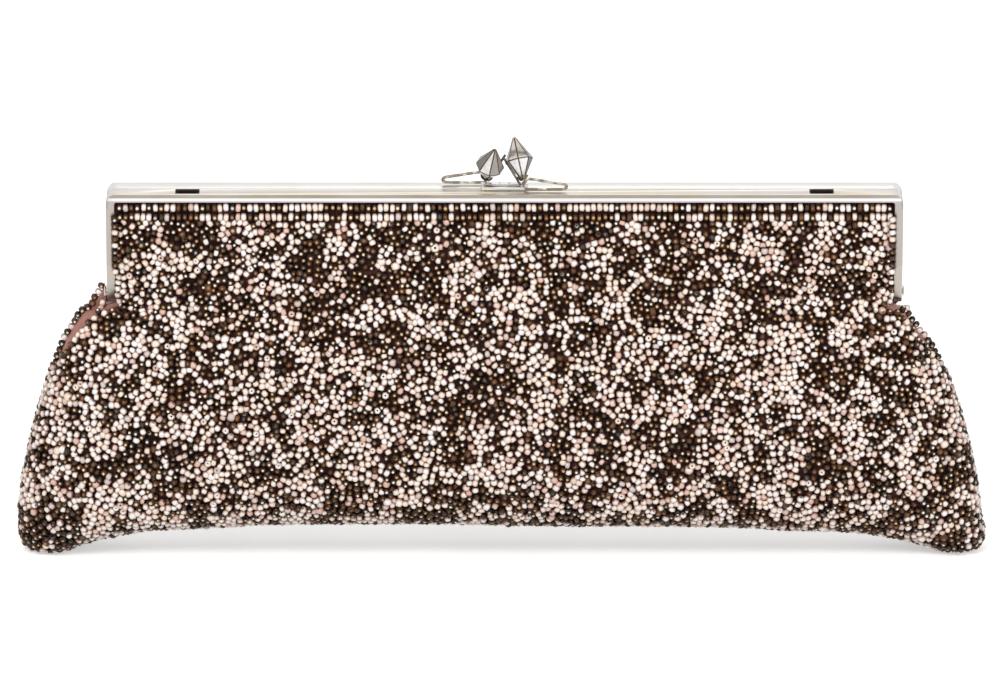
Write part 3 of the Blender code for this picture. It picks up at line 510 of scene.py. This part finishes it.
def upperPoint(climb, depthInset):
    # the same from the rim to the frame's lip
    span = bag["panelTop"] - bag["rim"]
    height = bag["rim"] + climb * span
    leave = bag["rimSlope"] * span
    arrive = leave * bag["lipSlopeShare"]
    middle = softLine(bag["rimDepth"], leave, bag["lipDepth"], arrive, climb) - depthInset
    sides = bag["armDepth"] * eased((height - bag["earFoot"]) / (bag["earTop"] - bag["earFoot"]))
    return height, middle, max(sides - depthInset, 0.0)


def clothPoint(across, up, depthInset=0.0, sideInset=0.0):
    # the front's outer face: up runs 0 to 1 from bottom seam to rim, and on to 2 at the lip
    if up <= 1:
        height, middle, sides = pouchPoint(across, up, depthInset)
    else:
        height, middle, sides = upperPoint(up - 1, depthInset)
    rounded = sideRound(across)
    depth = sides + (middle - sides) * rounded
    x = across * (widthAt(height, up) - sideInset)
    calm = rounded * eased(up / bag["waveFade"]) * eased((2 - up) / bag["waveFade"])
    swell = sum(
        strength * noise.noise(Vector((x * wide, height * tall, part)))
        for wide, tall, part, strength in bag["waves"]
    )
    depth += bag["wave"] * calm * swell
    return Vector((x, -max(depth, bag["leastDepth"]), max(height, bag["standOff"])))


def satinPoint(across, up):
    return clothPoint(across, up, satinSheet["depthInset"], satinSheet["sideInset"])


def upAt(row, rows, crowding=0.35):
    # rows closer together where the bottom turns under
    share = row / rows
    return crowding * share * share + (1 - crowding) * share


def spread(column, columns):
    return math.sin(math.pi / 2 * (2 * column / columns - 1))


def linked(name, data):
    item = bpy.data.objects.new(name, data)
    bpy.context.scene.collection.objects.link(item)
    return item


def meshOf(name, bm):
    mesh = bpy.data.meshes.new(name)
    bm.to_mesh(mesh)
    bm.free()
    return mesh


def newPiece(name, mesh, finish, sharp=None):
    piece = linked(name, mesh)
    mesh.materials.append(finishes[finish])
    mesh.shade_smooth()
    if sharp:
        mesh.set_sharp_from_angle(angle=math.radians(sharp))
    return piece


def turnOutward(bm, facing):
    # a sheet's normals point to the front or the rear before it gets its wall
    bmesh.ops.recalc_face_normals(bm, faces=bm.faces)
    beside = Vector((0, facing * bag["belly"], bag["panelTop"] / 2))
    nearest = min(bm.faces, key=lambda face: (face.calc_center_median() - beside).length)
    if nearest.normal.y * facing < 0:
        bmesh.ops.reverse_faces(bm, faces=bm.faces)


def clothPiece(name, sheet, facing, finish):
    bm = bmesh.new()
    bmesh.ops.create_grid(bm, x_segments=sheet["columns"], y_segments=sheet["rows"], size=1)
    for vert in bm.verts:
        column = round((vert.co.x + 1) / 2 * sheet["columns"])
        row = round((vert.co.y + 1) / 2 * sheet["rows"])
        up = sheet["top"] * upAt(row, sheet["rows"])
        across = spread(column, sheet["columns"])
        spot = clothPoint(across, up, sheet["depthInset"], sheet["sideInset"])
        vert.co = leaned(Vector((-facing * spot.x, -facing * spot.y, spot.z)))
    turnOutward(bm, facing)
    bmesh.ops.solidify(bm, geom=bm.faces[:], thickness=sheet["wall"])
    return newPiece(name, meshOf(name, bm), finish, sharp=60)


def bendWith(piece, half):
    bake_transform(piece)


def markGround(cloth, facing):
    # 0 on the bare strips beside the seams and 1 where beads cover the satin; the satin's painted
    # shade follows it
    shade = cloth.data.attributes.new("underBeads", "FLOAT", "POINT")
    values = []
    for vert in cloth.data.vertices:
        side = -1 if vert.co.x < 0 else 1
        up = (vert.co.z - bag["arch"]) / (bag["rim"] - bag["arch"])
        edge = widthAt(vert.co.z, max(up, 0.0))
        inward = edge - side * (vert.co.x + leanAt(vert.co.z))
        bare = stripAt(vert.co.z, side * -facing)
        values.append(eased((inward - bare) / strip["shadeSpan"] - strip["shadeStart"]))
    shade.data.foreach_set("value", values)


for end, facing in (("front", -1), ("rear", 1)):
    cloth = clothPiece(end + "_satin", satinSheet, facing, "satin")
    markGround(cloth, facing)
    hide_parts(end + "_beaded_panel", end + "_top_panel")
    bendWith(cloth, end + "_half")
    inside = clothPiece(end + "_lining", liningSheet, facing, "lining")
    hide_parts("pouch_lining", end + "_top_lining")
    bendWith(inside, end + "_half")
print("satin and lining made")


# the beads

beads = {
    "radius": 0.00109, "length": 0.00156, "hole": 0.00028, "sides": 7,
    # half the barrel's outline, in shares of half its length and of its radius
    "barrel": [(0.6, 0.97), (1.0, 0.55)], "holeEnd": 0.7,
    "apart": 0.00145, "sink": 0.84, "seed": 11,
    "lengths": (0.85, 1.0), "widths": (0.94, 1.04),
    "merge": 0.00001, "nearlyOutward": 0.2,
    "spareAxis": (0.31, 0.2, 0.93), "seenAxis": (0.0, 0.3, 1.0),
}
# two ordered rows of lying beads under the frame
rows = {
    "pitch": 0.00163, "drop": (0.0015, 0.0042), "stretch": (1.0, 1.2), "end": 0.1066,
    "play": 0.00012, "uneven": 0.005, "jitter": 0.14,
}
# the last beads beside the arms, which bulge over the edge of the lip down to lipFoot
columns = {
    "pitch": 0.0019, "place": {-1: 0.1076, 1: 0.107}, "depth": 0.0066, "drop": 0.0042,
    "lipFoot": 0.0832, "foot": 0.0742, "lowPlace": 0.106, "inset": 0.0012,
    "widths": (0.92, 1.0), "jitter": 0.25,
}
# the scattered beads between them
scatter = {
    "tries": 460000, "cells": 80, "below": 0.0014, "roughly": 0.85, "stripShare": 0.35,
    "edge": 0.1066, "earClear": 0.072, "play": (-0.05, 0.1), "tilt": 0.5,
    "facingOut": 0.022, "facingTilt": 0.5,
    "size": (0.9, 1.07), "large": 1.3, "largeShare": 0.015, "stretch": (0.85, 1.15),
}
# how many beads are dark: in clusters, with more at the bottom and under the frame
darkness = {
    "share": 0.41, "cluster": 120.0, "clusterStrength": 0.6,
    "grain": 330.0, "grainSlice": 0.5, "grainStrength": 0.35,
    "lowTop": 0.025, "low": 0.19, "highFoot": 0.07, "highRise": 0.01, "high": 0.12,
}


def beadShape():
    # a barrel with rounded ends and an open hole, spun about X
    bm = bmesh.new()
    radius, reach = beads["radius"], beads["length"] / 2
    half = [(reach * along, radius * away) for along, away in beads["barrel"]]
    half.append((reach * beads["holeEnd"], beads["hole"]))
    outline = [(-along, away) for along, away in reversed(half)] + half
    verts = [bm.verts.new((along, 0, away)) for along, away in outline]
    edges = [bm.edges.new((a, b)) for a, b in zip(verts, verts[1:])]
    bmesh.ops.spin(
        bm, geom=verts + edges, cent=(0, 0, 0), axis=(1, 0, 0), angle=math.tau,
        steps=beads["sides"], use_merge=True,
    )
    bmesh.ops.remove_doubles(bm, verts=bm.verts, dist=beads["merge"])
    ends = [edge for edge in bm.edges if edge.is_boundary]
    first = [edge for edge in ends if edge.verts[0].co.x < 0]
    second = [edge for edge in ends if edge.verts[0].co.x > 0]
    bmesh.ops.bridge_loops(bm, edges=first + second)
    bmesh.ops.recalc_face_normals(bm, faces=bm.faces)
    bmesh.ops.triangulate(bm, faces=[face for face in bm.faces if len(face.verts) > 4])
    points = np.array([vert.co for vert in bm.verts])
    bm.verts.index_update()
    faces = np.array([[vert.index for vert in face.verts] for face in bm.faces])
    bm.free()
    return points, faces


beadPoints, beadFaces = beadShape()


def crossed(first, second):
    # the unit directions at right angles to both
    across = np.cross(first, second)
    return across / np.linalg.norm(across, axis=1)[:, None]


def beadTurns(axes, outward):
    # each bead's own axes: along its hole, sideways, and as near outward as that allows
    sideways = np.cross(outward, axes)
    weak = np.linalg.norm(sideways, axis=1) < beads["nearlyOutward"]
    sideways[weak] = np.cross(np.array(beads["spareAxis"]), axes[weak])
    sideways /= np.linalg.norm(sideways, axis=1)[:, None]
    return np.stack((axes, sideways, np.cross(axes, sideways)), axis=1)


def beadPiece(name, spots, finish):
    # copies of the one bead; each spot is (place, axis, outward, (length, width), tone, dark)
    places, axes, outward = (np.array([spot[part] for spot in spots]) for part in range(3))
    stretch = np.array([(size[0], size[1], size[1]) for size in (spot[3] for spot in spots)])
    tones = np.array([spot[4] for spot in spots])
    local = (beadPoints[None] * stretch[:, None, :]) @ beadTurns(axes, outward)
    # where each point sits on its bead, seen from outside, in bead radii
    flat = crossed(outward, np.array(beads["seenAxis"]))
    seen = np.stack((flat, np.cross(outward, flat), outward), axis=2)
    onBeads = (local @ seen) / (beads["radius"] * stretch[:, 1][:, None, None])
    points = (local + places[:, None, :]).reshape(-1, 3)
    first = np.arange(len(spots))[:, None, None] * len(beadPoints)
    faces = (beadFaces[None] + first).reshape(-1, 4)
    mesh = bpy.data.meshes.new(name)
    mesh.from_pydata(points.tolist(), [], faces.tolist())
    tone = mesh.attributes.new("beadTone", "FLOAT", "POINT")
    tone.data.foreach_set("value", np.repeat(tones, len(beadPoints)).astype(np.float32))
    held = mesh.attributes.new("beadPlace", "FLOAT_VECTOR", "POINT")
    held.data.foreach_set("vector", onBeads.reshape(-1).astype(np.float32))
    return newPiece(name, mesh, finish)


def groundAt(across, up, step=0.004, leastArea=1e-12):
    # a point on the satin's face and its outward direction
    left, right = max(across - step, -1.0), min(across + step, 1.0)
    low, high = max(up - step, 0.0), min(up + step, 2.0)
    sideways = satinPoint(right, up) - satinPoint(left, up)
    upward = satinPoint(across, high) - satinPoint(across, low)
    outward = sideways.cross(upward)
    outward = outward.normalized() if outward.length > leastArea else Vector((0, -1, 0))
    return satinPoint(across, up), outward


class Spacing:
    # remembers places in small cells, so that beads keep apart
    def __init__(self, apart):
        self.apart = apart
        self.cells = {}

    def cell(self, spot):
        return tuple(int(math.floor(value / self.apart)) for value in spot)

    def add(self, spot):
        self.cells.setdefault(self.cell(spot), []).append(spot)

    def free(self, spot, share=1.0):
        i, j, k = self.cell(spot)
        near = (self.apart * share) ** 2
        for x in (i - 1, i, i + 1):
            for y in (j - 1, j, j + 1):
                for z in (k - 1, k, k + 1):
                    for other in self.cells.get((x, y, z), ()):
                        if (other - spot).length_squared < near:
                            return False
        return True


def isDark(spot, dice):
    cluster = noise.noise(spot * darkness["cluster"])
    grain = noise.noise(Vector((spot.z, spot.x, darkness["grainSlice"])) * darkness["grain"])
    level = darkness["share"]
    level += darkness["clusterStrength"] * cluster
    level += darkness["grainStrength"] * grain
    level += darkness["low"] * (1 - eased(spot.z / darkness["lowTop"]))
    level += darkness["high"] * eased((spot.z - darkness["highFoot"]) / darkness["highRise"])
    return dice.random() < eased(level)


class BeadLayer:
    # all the beads of the front's cloth, sewn in one order with one pair of dice
    def __init__(self):
        self.dice = random.Random(beads["seed"])
        self.spacing = Spacing(beads["apart"])
        self.spots = []
        self.span = bag["panelTop"] - bag["rim"]

    def keep(self, place, axis, outward, size):
        place.z = max(place.z, beads["radius"] * size[1])
        self.spacing.add(place)
        tone = self.dice.random()
        dark = isDark(place, self.dice)
        self.spots.append((place, axis.normalized(), outward, size, tone, dark))

    def askew(self, axis, jitter):
        return axis + Vector((self.dice.uniform(-jitter, jitter) for _ in range(3)))

    def sew(self, across, up, axis, jitter, stretch=(1.0, 1.0)):
        ground, outward = groundAt(across, up)
        place = ground + outward * beads["radius"] * beads["sink"]
        axis = self.askew(axis, jitter)
        length = stretch[0] * self.dice.uniform(*beads["lengths"])
        width = stretch[1] * self.dice.uniform(*beads["widths"])
        self.keep(place, axis, outward, (length, width))

    def sewRow(self, drop):
        up = 1 + (bag["panelTop"] - drop - bag["rim"]) / self.span
        count = int(2 * rows["end"] / rows["pitch"])
        for index in range(count + 1):
            x = (index - count / 2) * rows["pitch"]
            x += self.dice.uniform(-rows["play"], rows["play"])
            loose = up + self.dice.uniform(-rows["uneven"], rows["uneven"])
            along = Vector((1, 0, 0))
            self.sew(x / bag["panelHalfWidth"], loose, along, rows["jitter"], rows["stretch"])

    def sewBesideArm(self, side, height):
        if height < columns["lipFoot"]:
            width = widthAt(height, 2)
            across = side * min(columns["lowPlace"], width - columns["inset"]) / width
            up = 1 + (height - bag["rim"]) / self.span
            self.sew(across, up, Vector((0, 0, 1)), columns["jitter"])
            return
        place = Vector((side * columns["place"][side], -columns["depth"], height))
        axis = self.askew(Vector((0, 0, 1)), columns["jitter"])
        length = self.dice.uniform(*beads["lengths"])
        width = self.dice.uniform(*columns["widths"])
        self.keep(place, axis, Vector((0, -1, 0)), (length, width))

    def sewColumns(self):
        height = bag["panelTop"] - columns["drop"]
        while height > columns["foot"]:
            for side in (-1, 1):
                self.sewBesideArm(side, height)
            height -= columns["pitch"]

    def layCells(self):
        # the face in small cells with their outward directions, and their areas added up
        cells, total = [], []
        steps = scatter["cells"]
        for row in range(steps):
            for column in range(steps):
                a, b = 2 * column / steps - 1, 2 * (column + 1) / steps - 1
                low, high = 2 * row / steps, 2 * (row + 1) / steps
                corner = clothPoint(a, low)
                sides = clothPoint(b, low) - corner, clothPoint(a, high) - corner
                outward = groundAt((a + b) / 2, (low + high) / 2)[1]
                cells.append((a, b, low, high, outward))
                total.append(sides[0].cross(sides[1]).length + (total[-1] if total else 0.0))
        return cells, total

    def isBare(self, spot, across, up):
        # whether a place lies on the bare strip beside the side seam
        bare = stripAt(spot.z, -1 if across < 0 else 1)
        inward = widthAt(spot.z, up) - abs(spot.x)
        return bare and inward < bare + beads["radius"] * scatter["stripShare"]

    def anyAxis(self, outward):
        # most beads lie flat and turned any way, a few show their hole
        angle = self.dice.uniform(0, math.pi)
        sideways = Vector((1, 0, 0)) - outward * outward.x
        sideways.normalize()
        axis = sideways * math.cos(angle) + outward.cross(sideways) * math.sin(angle)
        if self.dice.random() < scatter["facingOut"]:
            return outward + axis * self.dice.uniform(0, scatter["facingTilt"])
        return axis + outward * self.dice.uniform(-scatter["tilt"], scatter["tilt"])

    def scatterField(self):
        cells, total = self.layCells()
        drop = bag["panelTop"] - rows["drop"][1] - scatter["below"]
        top = 1 + (drop - bag["rim"]) / self.span
        lift = beads["radius"] * beads["sink"]
        dice = self.dice
        for attempt in range(scatter["tries"]):
            pick = bisect.bisect(total, dice.random() * total[-1])
            a, b, low, high, facing = cells[min(pick, len(cells) - 1)]
            across, up = dice.uniform(a, b), dice.uniform(low, high)
            if up > top:
                continue
            rough = satinPoint(across, up)
            if not self.spacing.free(rough + facing * lift, scatter["roughly"]):
                continue
            if self.isBare(rough, across, up):
                continue
            ground, outward = groundAt(across, up)
            place = ground + outward * (lift + beads["radius"] * dice.uniform(*scatter["play"]))
            if place.z > scatter["earClear"] and abs(place.x) > scatter["edge"]:
                continue
            if not self.spacing.free(place):
                continue
            axis = self.anyAxis(outward)
            usual = dice.random() > scatter["largeShare"]
            size = dice.uniform(*scatter["size"]) if usual else scatter["large"]
            length = size * dice.uniform(*scatter["stretch"])
            self.keep(place, axis, outward, (length, size))


def turnedSpots(spots):
    # the same layout on the rear, turned half round about the upright axis
    flip = Vector((-1, -1, 1))
    return [(*(part * flip for part in spot[:3]), *spot[3:]) for spot in spots]


layer = BeadLayer()
for drop in rows["drop"]:
    layer.sewRow(drop)
layer.sewColumns()
layer.scatterField()
print("beads on each side:", len(layer.spots))

# the beads of one kind are three pieces on each side: (name, from x, to x)
beadParts = [("left", -1.0, -0.044), ("middle", -0.044, 0.044), ("right", 0.044, 1.0)]
for end, spots in (("front", layer.spots), ("rear", turnedSpots(layer.spots))):
    spots = [(leaned(spot[0].copy()), *spot[1:]) for spot in spots]
    for tag, finish, dark in (("dark", "darkBeads", True), ("pale", "paleBeads", False)):
        for side, low, high in beadParts:
            mine = [spot for spot in spots if spot[5] == dark and low <= spot[0].x < high]
            piece = beadPiece(end + "_" + tag + "_beads_" + side, mine, finish)
            bendWith(piece, end + "_half")
            print(piece.name, len(mine))


# the threaded rows on the side seams

edgeRow = {
    "pitch": 0.0019, "start": 0.02, "end": 1.2, "steps": 600, "out": 0.00115,
    "top": {-1: 0.0783, 1: 0.0712}, "play": 0.0002, "jitter": (0.25, 0.3),
    "size": (0.94, 1.06), "darkShare": 0.62,
}
# where the left seam runs up behind the foot of the arm: (height, place along X)
shoulder = {
    "seam": [
        (0.0690, -0.11522), (0.0705, -0.11452), (0.0722, -0.11332), (0.0746, -0.1120),
        (0.0770, -0.1108), (0.0790, -0.1104),
    ],
    "seamFrom": 0.0705, "foot": 0.0695, "top": 0.0783, "wall": 0.001,
    "behindArm": -0.1104, "besideRivet": -0.1109, "rivetFoot": 0.0738, "rivetRise": 0.0006,
    "hem": 0.0003, "leastWidth": 0.0002,
    "beads": [(-0.1119, -0.002, 0.0718), (-0.1114, -0.0014, 0.0731)],
}


def seamPath(side):
    path = []
    for index in range(edgeRow["steps"] + 1):
        up = edgeRow["start"] + (edgeRow["end"] - edgeRow["start"]) * index / edgeRow["steps"]
        spot = clothPoint(side, up)
        if spot.z > edgeRow["top"][side]:
            break
        wide = bag["halfWidth"] * alongTable(bag["sides"], min(up, 1.0))
        spot = leaned(Vector((side * (wide + edgeRow["out"]), 0, spot.z)))
        if side < 0 and spot.z > shoulder["seamFrom"]:
            spot.x = alongTable(shoulder["seam"], spot.z) - edgeRow["out"]
        path.append(spot)
    return path


def edgeSpots(side):
    # one bead after another along the side seam, threaded on its line
    dice = random.Random(beads["seed"] + side)
    path = seamPath(side)
    sideJitter, depthJitter = edgeRow["jitter"]
    spots = []
    walked = 0.0
    for before, after in zip(path, path[1:]):
        walked += (after - before).length
        if walked < edgeRow["pitch"]:
            continue
        walked -= edgeRow["pitch"]
        along = (after - before).normalized()
        out = Vector((side * along.z, 0, -side * along.x))
        place = after + out * dice.uniform(-edgeRow["play"], edgeRow["play"])
        sideways = dice.uniform(-sideJitter, sideJitter)
        axis = along + Vector((sideways, dice.uniform(-depthJitter, depthJitter), 0))
        size, tone = dice.uniform(*edgeRow["size"]), dice.random()
        dark = dice.random() < edgeRow["darkShare"]
        spots.append((place, axis.normalized(), Vector((0, -1, 0)), (size, size), tone, dark))
    return spots


for side, tag in ((-1, "left"), (1, "right")):
    spots = edgeSpots(side)
    for kind, finish, dark in (("dark", "darkBeads", True), ("pale", "paleBeads", False)):
        mine = [spot for spot in spots if spot[5] == dark]
        piece = beadPiece(tag + "_edge_row_" + kind, mine, finish)
        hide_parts(tag + "_edge_beads")
        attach(piece, "pouch")


def shoulderTab():
    # the satin's edge that runs up outside the left arm's foot
    bm = bmesh.new()
    bmesh.ops.create_grid(bm, x_segments=4, y_segments=12, size=0.5)
    for vert in bm.verts:
        height = shoulder["foot"] + (shoulder["top"] - shoulder["foot"]) * (vert.co.y + 0.5)
        outer = alongTable(shoulder["seam"], height) - shoulder["hem"]
        clear = eased((height - shoulder["rivetFoot"]) / shoulder["rivetRise"])
        inner = shoulder["behindArm"]
        inner += (shoulder["besideRivet"] - shoulder["behindArm"]) * clear
        inner = max(inner, outer + shoulder["leastWidth"])
        across = outer + (inner - outer) * (vert.co.x + 0.5)
        vert.co = (across, -shoulder["wall"] / 2, height)
    turnOutward(bm, -1)
    bmesh.ops.solidify(bm, geom=bm.faces[:], thickness=shoulder["wall"])
    name = "left_shoulder_satin"
    tab = newPiece(name, meshOf(name, bm), "satin", sharp=50)
    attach(tab, "pouch")


def shoulderBeads():
    dice = random.Random(beads["seed"])
    spots = []
    for place in shoulder["beads"]:
        axis = Vector((dice.uniform(-1, 1), 0, dice.uniform(-1, 1))).normalized()
        spots.append((Vector(place), axis, Vector((0, -1, 0)), (1, 1), dice.random(), False))
    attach(beadPiece("left_shoulder_beads", spots, "paleBeads"), "pouch")


shoulderTab()
shoulderBeads()
print("edge rows made")


# the frame and clasp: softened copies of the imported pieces

softening = {
    "frame": {"bevel": 0.00018, "segments": 2, "angle": 35, "smooth": 30},
    "plate": {"bevel": 0.00014, "segments": 2, "angle": 35, "smooth": 30},
    "crystal": {"bevel": 0.0002, "segments": 1, "angle": 12, "smooth": 5},
    "turned": {"bevel": 0.00006, "segments": 1, "angle": 50, "smooth": 45},
}
cleaning = {"merge": 0.000002, "flatAngle": 0.8}


def softCopy(nodeName, pieceName, body, values, finish):
    bm = bmesh.new()
    bm.from_mesh(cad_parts[nodeName].data)
    bmesh.ops.remove_doubles(bm, verts=bm.verts, dist=cleaning["merge"])
    flat = math.radians(cleaning["flatAngle"])
    bmesh.ops.dissolve_limit(bm, angle_limit=flat, verts=bm.verts, edges=bm.edges)
    sharp = [
        edge for edge in bm.edges
        if edge.is_manifold and edge.calc_face_angle(0) > math.radians(values["angle"])
    ]
    bmesh.ops.bevel(
        bm, geom=sharp, offset=values["bevel"], offset_type="OFFSET", affect="EDGES",
        segments=values["segments"], profile=0.5, material=-1, clamp_overlap=True,
    )
    piece = newPiece(pieceName, meshOf(pieceName, bm), finish, values["smooth"])
    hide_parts(nodeName)
    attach(piece, body)
    return piece


knobReflections = {
    # painted reflection tones of the facets from left to right, above and below the girdle
    "front": {"upper": (0.8, 0.85, 0.8, 0.66), "lower": (0.6, 1.0, 1.0, 0.3), "band": 1.0},
    "rear": {"upper": (0.34, 0.92, 0.58, 0.45), "lower": (0.2, 0.9, 0.75, 0.3), "band": 0.0},
    "edgeArea": 0.000003,  # smaller faces are the softened edges
}


def facetTone(face, end):
    # painted reflections: the narrow faces along the edges look dark, as the edges of cut glass
    # do, and each broad facet gets a tone by the way it faces
    if face.area < knobReflections["edgeArea"]:
        return 0.0
    low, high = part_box(end + "_crystal")
    above = face.center.z > low[2] + (high[2] - low[2]) * 0.5
    row = knobReflections[end]["upper" if above else "lower"]
    across = min(max((face.normal.x + 1) / 2, 0.0), 0.999)
    return row[int(across * len(row))]


def alongKnob(knob):
    # 0 at the crystal's lower tip and 1 at its upper tip
    spots = [vert.co for vert in knob.data.vertices]
    low, high = min(spots, key=lambda spot: spot.z), max(spots, key=lambda spot: spot.z)
    line = high - low
    return [(spot - low).dot(line) / line.length_squared for spot in spots]


for end in ("front", "rear"):
    half, catch = end + "_half", end + "_catch"
    for node, copy, body, kind, finish, slotName in (
        ("_frame", "_frame_metal", half, "frame", "nickel", "frame_metal"),
        ("_clasp_plate", "_plate", half, "plate", "nickel", "frame_metal"),
        ("_crystal_cap", "_knob_cup", catch, "turned", "wire", "frame_metal"),
        ("_crystal", "_knob", catch, "crystal", "crystal", "crystal"),
    ):
        knob = softCopy(end + node, end + copy, body, softening[kind], finish)
    # the crystal came last, and its facets get their painted reflection tones
    tones = knob.data.attributes.new("facetTone", "FLOAT", "FACE")
    tones.data.foreach_set("value", [facetTone(face, end) for face in knob.data.polygons])
    lengths = knob.data.attributes.new("alongKnob", "FLOAT", "POINT")
    banded = [share * knobReflections[end]["band"] for share in alongKnob(knob)]
    lengths.data.foreach_set("value", banded)

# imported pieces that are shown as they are
carried = {
    "wire": (
        "front_clasp_loop", "rear_clasp_loop", "front_clasp_post", "rear_clasp_post",
        "right_chain_bar",
    ),
    "agedWire": ("front_cross_wire", "rear_cross_wire", "left_chain_bar"),
    "nickel": ("left_hinge_rivet", "right_hinge_rivet"),
    "cord": (
        "front_frame_cord", "front_cord_left_end", "front_cord_right_end", "rear_frame_cord",
    ),
}
for finish, names in carried.items():
    for name in names:
        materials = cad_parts[name].data.materials
        materials.clear()
        materials.append(finishes[finish])
print("frame and clasp dressed")


# floor, light and camera

studio = {
    "floorColour": (0.9, 0.9, 0.9, 1), "floorGlow": 0.46, "floorReach": 6, "floorDrop": 0.0004,
    "worldLight": 0.5, "lens": 389.0, "sensor": 36, "nearest": 0.01,
    "distance": 3.0, "elevation": 20.0, "aim": (-0.00125, 0.0, 0.0585),
}
lamps = {
    "key": {"place": (-0.45, -0.9, 1.0), "size": 0.4, "power": 8.0},
    "fill": {"place": (0.7, -0.8, 0.6), "size": 0.6, "power": 3.5},
    "back": {"place": (0.1, 0.9, 1.3), "size": 0.6, "power": 3.0},
}


def seenDirectly(tree):
    # 1 for rays that show the background: camera, glossy and glass ones
    node = tree.nodes.new("ShaderNodeLightPath")
    seen = Field(tree, node.outputs["Is Camera Ray"])
    for name in ("Is Glossy Ray", "Is Transmission Ray"):
        seen = seen.larger(Field(tree, node.outputs[name]))
    return seen


def aimAtBag(item, place):
    turn = (Vector(studio["aim"]) - place).to_track_quat("-Z", "Y")
    item.matrix_world = Matrix.Translation(place) @ turn.to_matrix().to_4x4()


def makeFloor():
    bm = bmesh.new()
    bmesh.ops.create_grid(bm, x_segments=1, y_segments=1, size=studio["floorReach"])
    bmesh.ops.translate(bm, verts=bm.verts, vec=(0, 0, -studio["floorDrop"]))
    floor = linked("floor", meshOf("floor", bm))
    paint = Finish(
        "floorPaint", Roughness=1.0, Base_Color=studio["floorColour"],
        Specular_IOR_Level=0, Emission_Color=(1, 1, 1, 1),
    )
    glow = seenDirectly(paint.tree) * studio["floorGlow"]
    floor.data.materials.append(paint.give(Emission_Strength=glow))


def makeWorld():
    world = bpy.data.worlds.new("paleRoom")
    bpy.context.scene.world = world
    world.use_nodes = True
    tree = world.node_tree
    back = tree.nodes["Background"]
    back.inputs["Color"].default_value = (1, 1, 1, 1)
    seen = seenDirectly(tree)
    strength = seen + (1 - seen) * studio["worldLight"]
    tree.links.new(strength.socket, back.inputs["Strength"])


def makeLamps():
    for name, values in lamps.items():
        lamp = bpy.data.lights.new(name, "AREA")
        lamp.size = values["size"]
        lamp.energy = values["power"]
        aimAtBag(linked(name, lamp), Vector(values["place"]))


def makeCamera():
    data = bpy.data.cameras.new("camera")
    data.lens = studio["lens"]
    data.sensor_width = studio["sensor"]
    data.clip_start = studio["nearest"]
    item = linked("camera", data)
    tilt = math.radians(studio["elevation"])
    away = Vector((0, -math.cos(tilt), math.sin(tilt))) * studio["distance"]
    aimAtBag(item, Vector(studio["aim"]) + away)
    bpy.context.scene.camera = item


makeFloor()
makeWorld()
makeLamps()
makeCamera()
bpy.context.scene.view_settings.view_transform = "Standard"
print("studio ready")
